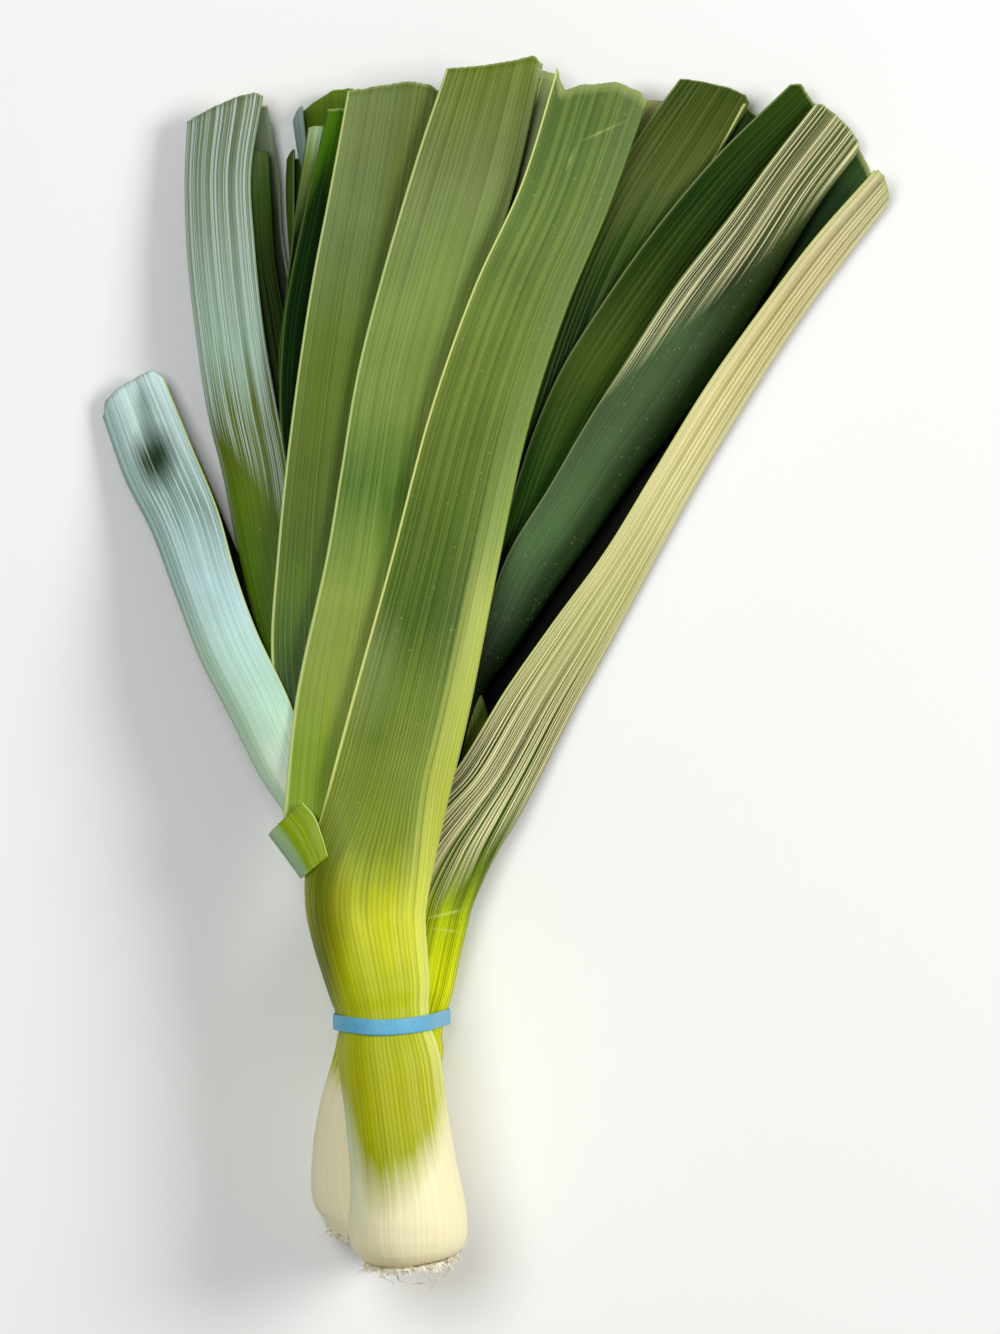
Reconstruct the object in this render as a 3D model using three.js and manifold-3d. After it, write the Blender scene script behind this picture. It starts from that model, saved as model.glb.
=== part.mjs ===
// Two leeks held together by one rubber band, lying on a table with their leaves spread in flat fans.
// Millimetres. +Z is up from the table, +Y runs from the roots to the cut leaf tips and +X is to the right
// seen from above. The origin is on the table, under the middle of the bunch.
//
// The front leek lies on top of the rear one, and the two cross where the band holds them. Each leek is a
// shaft of tightly rolled leaf sheaths, whose outermost leaf runs on from the shaft's skin as a blade, and
// younger leaves that stand in two ranks, folded in a V along the keel, one inside another.
import * as THREE from "three";
import { mergeVertices } from "three/addons/utils/BufferGeometryUtils.js";
import Module from "manifold-3d";

const wasm = await Module();
wasm.setup();

const leafThickness = 1.1;
const clearance = 0.35;
const bandWidth = 6.4;
const bandThickness = 1.0;
const rootPlateRadius = 17.2;
const rootPlateDepth = 3.2;

const stepsAlongLeaf = 13;
// Where the lines of points run between a leaf's keel (0) and its margin (1).
const sharesAcross = [0, 0.12, 0.35, 0.65, 0.88, 1];
const sidesOfShaft = 24;
const stepsRoundBand = 48;

const skinGreen = new THREE.MeshStandardMaterial({ color: 0x9fae2e, roughness: 0.45, metalness: 0 });
const bladeGreen = new THREE.MeshStandardMaterial({ color: 0x5f7a3c, roughness: 0.5, metalness: 0 });
const rootCream = new THREE.MeshStandardMaterial({ color: 0xc9b98c, roughness: 0.9, metalness: 0 });
const bandBlue = new THREE.MeshStandardMaterial({ color: 0x4f9fd0, roughness: 0.55, metalness: 0 });

const point = (p) => new THREE.Vector3(...p);
const curveThrough = (points) => new THREE.CatmullRomCurve3(points.map(point), false, "centripetal");
const mix = THREE.MathUtils.lerp;

// A closed mesh from a list of triangles as a manifold-3d solid, turned the right way out.
function solidFrom(vertices, triangles) {
  const flat = new THREE.BufferGeometry();
  flat.setAttribute("position", new THREE.Float32BufferAttribute(vertices.flatMap((v) => v.toArray()), 3));
  flat.setIndex(triangles.flat());
  const merged = mergeVertices(flat, 1e-4);
  const build = (triVerts) =>
    new wasm.Manifold(
      new wasm.Mesh({ numProp: 3, vertProperties: merged.attributes.position.array, triVerts }),
    );
  const solid = build(new Uint32Array(merged.index.array));
  if (solid.volume() > 0) return solid;
  return build(new Uint32Array(merged.index.array).reverse());
}

function meshOf(name, solid, material) {
  const made = solid.getMesh();
  const geometry = new THREE.BufferGeometry();
  geometry.setAttribute("position", new THREE.BufferAttribute(Float32Array.from(made.vertProperties), 3));
  geometry.setIndex(new THREE.BufferAttribute(Uint32Array.from(made.triVerts), 1));
  const mesh = new THREE.Mesh(geometry, material);
  mesh.name = name;
  return mesh;
}

// Rings of points joined side by side and closed at both ends, for a shaft, a root or a plate.
function loft(rings) {
  const sides = rings[0].length;
  const vertices = rings.flat();
  const triangles = [];
  for (let i = 0; i + 1 < rings.length; i++) {
    for (let j = 0; j < sides; j++) {
      const a = i * sides + j;
      const b = i * sides + ((j + 1) % sides);
      triangles.push([a, b, b + sides], [a, b + sides, a + sides]);
    }
  }
  const last = (rings.length - 1) * sides;
  for (let j = 1; j + 1 < sides; j++) {
    triangles.push([0, j + 1, j], [last, last + j, last + j + 1]);
  }
  return solidFrom(vertices, triangles);
}

// How far a folded leaf has opened at a share of the way from its keel (0) to its margin (1): fold 1 is a
// straight-sided V, a larger fold is a rounder keel, and close bends the margin back to shut the sleeve.
function openingAt(share, fold, close) {
  const blade = (1 - (1 - share) ** fold) ** (1 / fold);
  const sleeve = Math.sqrt(Math.max(0, 1 - (2 * share - 1) ** 2));
  return mix(blade, sleeve, close);
}

// A leaf blade. keel and near are the lines of the fold and of the upper margin, from the base to the tip.
// The lower margin mirrors the upper one unless far gives it. nearTip and farTip say how far the cut end
// stands back from the line between the rails' ends, at each share from the keel to the margin: below zero
// where it stands out. grow makes the blade thicker all round.
function leafSolid(leaf, grow = 0) {
  const keel = curveThrough(leaf.keel);
  const near = curveThrough(leaf.near);
  const mirrored = leaf.near.map(([x, y, z], i) => {
    const [kx, ky, kz] = leaf.keel[i];
    return [mix(kx, x, 0.94), mix(ky, y, 0.94), Math.max(kz - (z - kz), 0)];
  });
  const far = curveThrough(leaf.far ?? mirrored);
  const length = keel.getLength();
  const thickness = leafThickness + 2 * grow;
  const steps = sharesAcross.length - 1;

  const closeAt = (t) => {
    const stations = leaf.close ?? [0];
    const place = t * (leaf.keel.length - 1);
    const i = Math.floor(place);
    return mix(stations[i] ?? 0, stations[i + 1] ?? 0, place - i);
  };
  const setBack = (side, step) => (side > 0 ? leaf.nearTip : (leaf.farTip ?? [0, 1, 2, 2, 2, 2]))[step];
  // A rail's point, carried straight on past the rail's end where the tip stands out.
  const along = (rail, t) => {
    if (t <= 1) return rail.getPoint(t);
    const end = rail.getPoint(1);
    return end.clone().addScaledVector(end.clone().sub(rail.getPoint(0.97)), (t - 1) / 0.03);
  };
  // side is +1 on the upper half and -1 on the lower one; inner asks for the face inside the fold.
  const vertexAt = (place01, side, step, inner) => {
    const share = sharesAcross[step];
    const t = place01 * (1 - setBack(side, step) / length);
    const k = along(keel, t);
    const margin = along(side > 0 ? near : far, t);
    const width = Math.hypot(margin.x - k.x, margin.y - k.y);
    const rise = Math.abs(margin.z - k.z) + grow;
    const fold = mix(leaf.fold?.[0] ?? 2.4, leaf.fold?.[1] ?? 1.3, Math.min(1, t));
    const close = closeAt(Math.min(0.999, t));
    let place = mix(-grow / width, 1 + grow / width, share);
    let lift = rise * openingAt(share, fold, close);
    if (inner) {
      let start = thickness / width;
      while (start < 0.9 && rise * openingAt(start, fold, close) < thickness) start += 0.01;
      const inside = mix(start, 1, share);
      place = mix(-grow / width, 1 + grow / width, inside);
      lift = step === 0 ? 0 : Math.max(rise * openingAt(inside, fold, close) - thickness, 0.02);
    }
    return new THREE.Vector3(mix(k.x, margin.x, place), mix(k.y, margin.y, place), k.z + side * lift);
  };

  const rings = [];
  for (let i = 0; i < stepsAlongLeaf; i++) {
    const t = i / (stepsAlongLeaf - 1);
    const ring = [];
    for (let j = steps; j >= 0; j--) ring.push(vertexAt(t, 1, j, false));
    for (let j = 1; j <= steps; j++) ring.push(vertexAt(t, -1, j, false));
    for (let j = steps; j > 0; j--) ring.push(vertexAt(t, -1, j, true));
    const upper = vertexAt(t, 1, 0, true);
    ring.push(upper.add(vertexAt(t, -1, 0, true)).multiplyScalar(0.5));
    for (let j = 1; j <= steps; j++) ring.push(vertexAt(t, 1, j, true));
    rings.push(ring);
  }
  const around = rings[0].length;
  const triangles = [];
  for (let i = 0; i + 1 < rings.length; i++) {
    for (let j = 0; j < around; j++) {
      const a = i * around + j;
      const b = i * around + ((j + 1) % around);
      triangles.push([a, b, b + around], [a, b + around, a + around]);
    }
  }
  const last = (rings.length - 1) * around;
  for (let j = 0; j < 2 * steps; j++) {
    const [a, b, c, d] = [j, j + 1, around - 2 - j, around - 1 - j];
    triangles.push([a, c, b], [a, d, c], [last + a, last + b, last + c], [last + a, last + c, last + d]);
  }
  return solidFrom(rings.flat(), triangles);
}

// The way a shaft points at one of its stations, turned about the upright by the station's own turn.
function shaftDirection(stations, i) {
  const axis = curveThrough(stations.map((s) => s.slice(0, 3)));
  const turn = THREE.MathUtils.degToRad(stations[i][5] ?? 0);
  return axis.getTangent(i / (stations.length - 1)).applyAxisAngle(new THREE.Vector3(0, 0, 1), turn);
}

// A shaft: ellipses from the root end to a thin tongue between the leaves. Each station is [x, y, z, half
// width, half depth, turn in degrees]. What would reach below the table is flattened on it.
function shaftSolid(stations, grow = 0) {
  const rings = stations.map(([x, y, z, halfWidth, halfDepth], i) => {
    const along = shaftDirection(stations, i);
    const sideways = new THREE.Vector3().crossVectors(along, new THREE.Vector3(0, 0, 1)).normalize();
    const upwards = new THREE.Vector3().crossVectors(sideways, along);
    const ring = [];
    for (let j = 0; j < sidesOfShaft; j++) {
      const angle = (2 * Math.PI * (j + 0.5)) / sidesOfShaft;
      const p = new THREE.Vector3(x, y, z)
        .addScaledVector(sideways, (halfWidth + grow) * Math.cos(angle))
        .addScaledVector(upwards, (halfDepth + grow) * Math.sin(angle));
      if (p.z < 0.6) p.z = 0;
      ring.push(p);
    }
    return ring;
  });
  return loft(rings);
}

// A small seeded generator, so that the roots come out alike each time.
function seeded(seed) {
  let state = seed;
  return () => {
    state = (state * 1664525 + 1013904223) % 4294967296;
    return state / 4294967296;
  };
}

// One root: a tapering three-sided strand along a list of points.
function rootStrand(points, thick, thin) {
  const path = curveThrough(points);
  const steps = points.length > 3 ? points.length * 2 - 2 : 2;
  const rings = [];
  for (let i = 0; i <= steps; i++) {
    const t = i / steps;
    const along = path.getTangent(t);
    const across = new THREE.Vector3().crossVectors(along, new THREE.Vector3(0.3, 0.2, 0.93)).normalize();
    const over = new THREE.Vector3().crossVectors(along, across);
    const radius = mix(thick, thin, t);
    rings.push(
      [0, 1, 2].map((j) => {
        const angle = (2 * Math.PI * j) / 3;
        return path
          .getPoint(t)
          .addScaledVector(across, radius * Math.cos(angle))
          .addScaledVector(over, radius * Math.sin(angle));
      }),
    );
  }
  return loft(rings);
}

// The root plate under a shaft: a low dome square to the shaft's end, with trimmed rootlets crowded round
// its rim and a few long hairs that the knife missed. Everything stays above the table.
function rootPlate(shaft, seed, rootletCount, hairs) {
  const random = seeded(seed);
  const end = shaft[0].slice(0, 3);
  const out = shaftDirection(shaft, 0).negate();
  const across = new THREE.Vector3(0, 0, 1).cross(out).normalize();
  const up = new THREE.Vector3().crossVectors(out, across);
  const on = (radius, angle, depth) =>
    point(end)
      .addScaledVector(across, radius * Math.cos(angle))
      .addScaledVector(up, radius * Math.sin(angle))
      .addScaledVector(out, depth);
  const profile = [
    [rootPlateRadius - 1.2, clearance],
    [rootPlateRadius, 1.1],
    [rootPlateRadius - 2.2, 2.1],
    [rootPlateRadius * 0.55, rootPlateDepth - 0.3],
    [rootPlateRadius * 0.2, rootPlateDepth],
  ];
  const dome = profile.map(([radius, depth]) =>
    Array.from({ length: 20 }, (_, j) => on(radius, (2 * Math.PI * j) / 20, depth)),
  );
  const strands = [];
  for (let i = 0; i < rootletCount; i++) {
    const angle = (2 * Math.PI * (i + 0.7 * random())) / rootletCount;
    const row = i % 3;
    const radius = rootPlateRadius * (0.93 - 0.2 * row) - 1.2 * random();
    const length = 1.8 + 2.6 * random();
    const turn = angle + 0.5 * (random() - 0.5);
    const lean = 0.75 - 0.3 * row;
    strands.push([
      on(radius, angle, 1.1),
      on(radius + lean * length * 0.4, turn, rootPlateDepth * 0.6 + length * 0.35),
      on(radius + lean * length * 0.7, turn + 0.08, rootPlateDepth * 0.5 + length * 0.8),
    ]);
  }
  const made = strands.map((s) => rootStrand(s.map((p) => p.toArray()), 0.8, 0.4));
  for (const [angle, radius, ...tail] of hairs) {
    const route = [on(radius, angle, 1.1)];
    for (const [sidestep, rise, depth] of tail) {
      route.push(
        point(end).addScaledVector(across, sidestep).addScaledVector(up, rise).addScaledVector(out, depth),
      );
    }
    made.push(rootStrand(route.map((p) => p.toArray()), 0.5, 0.35));
  }
  return wasm.Manifold.union([loft(dome), ...made]).decompose().sort((a, b) => b.volume() - a.volume())[0];
}

// The front leek's shaft, from the root end up: round and white at the bulb, slimmest under the band, then
// wide and flat at the neck. The last six stations are the tongue that the younger leaves stand on.
const frontShaft = [
  [-33.4, -233.4, 62.6, 17.6, 17.2, 2],
  [-33.9, -229.8, 62.7, 21.3, 20.7, 0],
  [-34.2, -225.0, 62.8, 23.2, 22.5],
  [-34.5, -217.8, 62.8, 23.5, 23.0],
  [-34.8, -209.3, 62.5, 22.6, 22.3],
  [-36.2, -197.5, 61.8, 21.2, 21.0],
  [-37.7, -185.6, 61.2, 20.6, 20.5],
  [-39.6, -171.0, 60.8, 20.1, 20.0],
  [-41.5, -156.4, 60.3, 20.2, 19.7],
  [-42.8, -148.0, 60.0, 19.7, 19.4],
  [-43.2, -145.0, 59.9, 17.8, 18.2],
  [-44.6, -132.6, 59.3, 17.8, 18.0],
  [-45.3, -129.6, 59.1, 19.8, 18.9],
  [-47.1, -118.5, 58.5, 21.0, 18.4],
  [-49.3, -107.4, 57.8, 22.4, 17.6],
  [-50.8, -97.9, 56.9, 23.5, 16.8],
  [-51.0, -90.8, 56.6, 24.4, 16.0],
  [-49.7, -82.9, 56.0, 24.8, 14.6],
  [-49.2, -75.4, 55.2, 23.6, 11.8],
  [-46.4, -59.6, 53.2, 23.2, 9.4],
  [-44.6, -43.6, 51.6, 23.2, 7.6],
  [-44.0, -27.6, 50.0, 22.2, 5.8],
  [-44.0, -11.6, 48.4, 20.0, 3.6],
  [-43.6, 0.4, 47.2, 15.0, 1.6],
];

const rearShaft = [
  [-50.2, -228.4, 20.2, 16.4, 16.4, -20],
  [-50.2, -224.8, 20.4, 19.6, 19.4, -18],
  [-50.4, -219.4, 20.6, 21.6, 20.9, -13],
  [-50.9, -211.6, 20.8, 22.4, 21.4, -5],
  [-51.2, -203.0, 20.7, 22.6, 21.3],
  [-50.8, -190.0, 20.5, 22.0, 20.7],
  [-48.8, -177.0, 20.4, 21.5, 19.9],
  [-43.5, -158.8, 20.5, 21.6, 19.4],
  [-41.7, -147.6, 20.7, 21.2, 19.1],
  [-41.1, -144.6, 20.7, 19.8, 18.0],
  [-38.6, -131.2, 20.4, 19.8, 17.8],
  [-38.2, -128.4, 20.2, 21.2, 18.6],
  [-35.2, -111.2, 17.9, 21.6, 17.8],
  [-32.6, -97.6, 16.6, 22.2, 17.0],
  [-30.4, -89.6, 16.4, 22.0, 16.2],
  [-27.6, -77.6, 16.4, 20.4, 12.6],
  [-24.8, -62.0, 16.6, 20.8, 9.8],
  [-22.6, -46.0, 16.8, 21.4, 7.6],
  [-21.6, -29.6, 17.0, 21.0, 5.6],
  [-20.8, -12.8, 17.2, 18.0, 3.4],
  [-20.0, -2.0, 17.4, 13.0, 1.6],
];

// The outermost leaf of each leek, whose sheath is the shaft's skin.
const frontOuterLeaf = {
  keel: [
    [-27.2, -91.6, 56.6], [-23.0, -75.2, 55.0], [-18.8, -51.4, 52.6], [-10.4, -17.6, 49.0],
    [0.8, 39.0, 43.0], [13.2, 96.2, 38.0], [28.4, 143.6, 35.0], [45.2, 183.8, 32.0], [61.2, 228.2, 30.0],
  ],
  near: [
    [-74.2, -91.6, 71.4], [-74.0, -76.4, 70.0], [-67.6, -52.4, 67.4], [-56.4, -10.4, 62.5],
    [-42.0, 41.8, 54.4], [-25.4, 104.8, 47.6], [-8.0, 153.8, 43.6], [10.4, 194.2, 40.2], [24.8, 240.8, 38.0],
  ],
  far: [
    [-74.2, -91.6, 41.8], [-72.0, -76.4, 40.0], [-65.6, -52.8, 37.6], [-54.4, -10.4, 35.5],
    [-40.4, 42.0, 31.6], [-25.6, 105.2, 28.2], [-8.0, 154.4, 26.2], [7.6, 200.0, 23.6], [19.0, 240.8, 22.0],
  ],
  close: [0.85, 0.5, 0.12, 0],
  nearTip: [0, -1.9, -2.4, 2, 6.5, 0],
  farTip: [1, 2, 4, 8.5, 0, 0],
};

const rearOuterLeaf = {
  keel: [
    [-8.6, -91.2, 16.0], [0.6, -74.4, 14.5], [9.2, -60.0, 12.0], [16.4, -46.4, 9.5], [32.4, -14.8, 6.5],
    [46.0, 10.0, 5.4], [65.0, 45.4, 5.2], [81.4, 75.2, 5.2], [104.4, 113.0, 5.4], [123.2, 141.6, 5.6],
    [142.8, 168.0, 5.8], [157.4, 186.6, 6.0],
  ],
  near: [
    [-51.4, -88.8, 31.2], [-41.2, -67.6, 30.2], [-28.0, -52.4, 29.0], [-16.4, -40.4, 27.5], [4.4, -7.2, 25.5],
    [22.4, 18.4, 25.0], [44.4, 48.4, 24.5], [62.8, 78.4, 24.5], [85.2, 114.8, 24.5], [106.8, 145.2, 24.0],
    [128.0, 173.2, 22.5], [151.6, 199.8, 20.0],
  ],
  far: [
    [-51.4, -88.8, 1.6], [-44.0, -64.0, 0.8], [-32.0, -46.0, 0.2], [-22.0, -32.0, 0.2], [-2.0, 4.0, 0.2],
    [16.0, 30.0, 0.2], [38.0, 62.0, 0.2], [56.0, 92.0, 0.2], [80.0, 130.0, 0.2], [102.0, 160.0, 0.2],
    [122.0, 188.0, 0.2], [141.2, 214.4, 0.0],
  ],
  close: [0.85, 0.45, 0.15, 0],
  nearTip: [-1.2, -3.8, -4.4, -4.2, -2.8, -1.2],
  farTip: [-1.2, -1.2, -2.4, -3.4, -3, -2],
};

// The younger leaves, outermost first. Their ranks alternate, the keel to the right and to the left.
const frontLeaves = {
  front_leaf_2_cut_short: {
    keel: [[-77.0, -82.4, 56.0], [-81.0, -77.0, 56.5], [-85.4, -71.0, 57.2], [-89.8, -65.0, 58.0]],
    near: [[-66.0, -73.2, 66.6], [-68.4, -64.8, 66.4], [-71.6, -57.0, 65.8], [-76.2, -51.8, 65.0]],
    far: [[-70.0, -76.0, 47.0], [-74.0, -69.0, 44.0], [-78.0, -62.0, 41.5], [-83.0, -57.0, 40.5]],
    nearTip: [0, -0.4, -0.4, -0.4, -0.2, 0],
  },
  front_leaf_3: {
    keel: [
      [-26.4, -60.4, 52.8], [-24.8, -14.0, 48.6], [-23.2, 38.8, 43.0], [-20.4, 71.6, 40.0],
      [-14.8, 110.8, 37.0], [-4.4, 150.0, 34.4], [9.6, 198.8, 31.4], [19.2, 242.8, 29.4],
    ],
    near: [
      [-84.0, -60.0, 61.6], [-79.0, -10.8, 58.4], [-67.0, 45.8, 51.3], [-61.8, 77.0, 47.6],
      [-55.0, 118.2, 44.0], [-45.0, 158.2, 41.0], [-30.6, 207.2, 37.6], [-19.4, 240.6, 35.4],
    ],
    nearTip: [0, -3.8, -2, -0.5, -0.2, 0],
  },
  front_leaf_4: {
    keel: [
      [-83.6, -56.4, 51.6], [-93.2, -42.4, 49.0], [-106.0, -17.6, 44.5], [-117.6, 4.4, 38.0],
      [-128.0, 30.4, 29.0], [-138.0, 56.0, 19.5], [-149.2, 77.6, 11.0], [-158.2, 102.4, 5.6],
    ],
    near: [
      [-62.0, -55.6, 60.0], [-71.6, -36.4, 58.4], [-82.4, -9.6, 56.0], [-94.8, 16.0, 48.5],
      [-103.6, 39.6, 39.5], [-111.2, 65.2, 29.5], [-121.4, 89.6, 20.5], [-133.4, 118.2, 13.5],
    ],
    far: [
      [-62.0, -55.6, 44.0], [-70.0, -36.4, 38.6], [-80.4, -9.6, 32.0], [-91.2, 16.0, 26.5], [-99.6, 40.4, 18.5],
      [-107.6, 58.6, 9.5], [-118.8, 84.2, 3.0], [-135.4, 118.0, 0.5],
    ],
    nearTip: [0, -5, -6, -5.4, -4.6, 0],
    farTip: [0, -4, -4, -4, -3, 0],
  },
  front_leaf_5: {
    keel: [
      [-33.2, -41.6, 50.6], [-37.2, -14.0, 48.2], [-40.4, 9.2, 46.0], [-43.6, 39.6, 42.6],
      [-43.6, 69.2, 40.0], [-40.0, 108.4, 36.6], [-34.4, 148.4, 34.0], [-28.4, 186.8, 31.6], [-22.0, 230.8, 30.0],
    ],
    near: [
      [-84.0, -39.6, 55.4], [-87.6, -11.6, 52.0], [-89.0, 12.4, 50.6], [-86.8, 44.4, 47.8],
      [-84.0, 74.4, 45.4], [-79.2, 114.4, 41.8], [-73.2, 154.4, 39.0], [-66.0, 192.4, 36.6], [-58.8, 231.8, 35.0],
    ],
    nearTip: [-0.6, -2.8, -3.7, -2.2, -0.6, 0],
  },
  front_leaf_6: {
    keel: [
      [-80.0, -37.0, 49.6], [-86.8, -7.6, 45.2], [-95.6, 18.4, 40.0], [-102.8, 48.4, 34.5], [-108.8, 77.6, 30.0],
      [-115.0, 102.8, 26.0], [-120.0, 134.4, 22.0], [-123.6, 166.4, 18.5], [-124.8, 198.4, 15.0], [-123.8, 221.0, 13.0],
    ],
    near: [
      [-58.0, -39.6, 56.0], [-66.0, -11.6, 52.6], [-74.8, 18.4, 47.2], [-79.2, 50.4, 42.0], [-82.8, 82.4, 37.6],
      [-87.6, 107.6, 33.6], [-92.8, 138.4, 29.4], [-96.4, 172.4, 26.0], [-97.8, 200.4, 23.0], [-93.2, 231.0, 20.0],
    ],
    far: [
      [-58.0, -39.6, 44.0], [-62.0, -11.6, 39.0], [-68.0, 18.4, 33.0], [-70.8, 50.4, 27.0], [-74.0, 82.4, 21.5],
      [-77.2, 110.4, 17.0], [-80.4, 144.4, 13.0], [-85.4, 174.0, 10.0], [-87.2, 200.4, 8.0], [-91.8, 227.6, 9.0],
    ],
    nearTip: [0, -1.2, -2.7, -3.4, -2.4, 0],
    farTip: [0, 0, -0.5, -1, -0.6, 0],
  },
  front_leaf_7: {
    keel: [
      [-44.0, -11.6, 48.2], [-52.0, 14.4, 45.6], [-59.0, 40.4, 42.6], [-59.6, 68.4, 40.0], [-57.2, 96.4, 37.4],
      [-53.2, 122.4, 35.6], [-49.2, 146.4, 34.0], [-42.8, 178.4, 32.0], [-37.2, 223.6, 30.4],
    ],
    near: [
      [-80.0, -9.6, 51.8], [-86.0, 16.4, 49.2], [-89.6, 42.4, 46.2], [-90.0, 70.4, 43.4], [-88.0, 98.4, 41.0],
      [-85.6, 123.2, 39.2], [-83.6, 145.6, 37.6], [-76.8, 180.8, 35.4], [-66.8, 224.4, 33.6],
    ],
    nearTip: [0, 0.4, 0.5, -0.3, -0.4, 0],
  },
  front_leaf_8: {
    keel: [
      [-79.6, -11.6, 46.0], [-86.0, 18.4, 40.4], [-91.6, 50.4, 34.6], [-96.4, 80.4, 29.6], [-101.2, 108.4, 25.4],
      [-106.0, 136.4, 21.6], [-110.0, 164.4, 18.4], [-111.6, 188.4, 16.0], [-112.0, 208.4, 14.0],
    ],
    near: [
      [-60.0, -11.6, 49.6], [-68.0, 20.4, 44.0], [-73.2, 52.4, 38.0], [-75.6, 82.4, 33.2], [-79.6, 110.4, 29.0],
      [-84.0, 138.4, 25.0], [-88.4, 165.2, 21.8], [-89.8, 188.4, 19.2], [-90.8, 208.4, 17.4],
    ],
    nearTip: [0, -1, -2, -2, -1, 0],
  },
  front_leaf_9: {
    keel: [
      [-52.0, 12.4, 45.6], [-62.0, 40.4, 42.4], [-66.0, 68.4, 39.8], [-65.0, 96.4, 37.2], [-62.0, 122.4, 35.2],
      [-59.0, 146.4, 33.6], [-54.0, 178.4, 31.6], [-50.0, 217.2, 30.0],
    ],
    near: [
      [-80.0, 14.4, 48.0], [-86.0, 42.4, 44.8], [-88.0, 70.4, 42.2], [-87.6, 98.4, 39.6], [-86.4, 123.2, 37.6],
      [-84.0, 146.4, 36.0], [-79.2, 187.2, 34.0], [-74.8, 217.0, 32.4],
    ],
    nearTip: [0, 0, -0.4, -0.8, -0.8, 0],
  },
};

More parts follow.
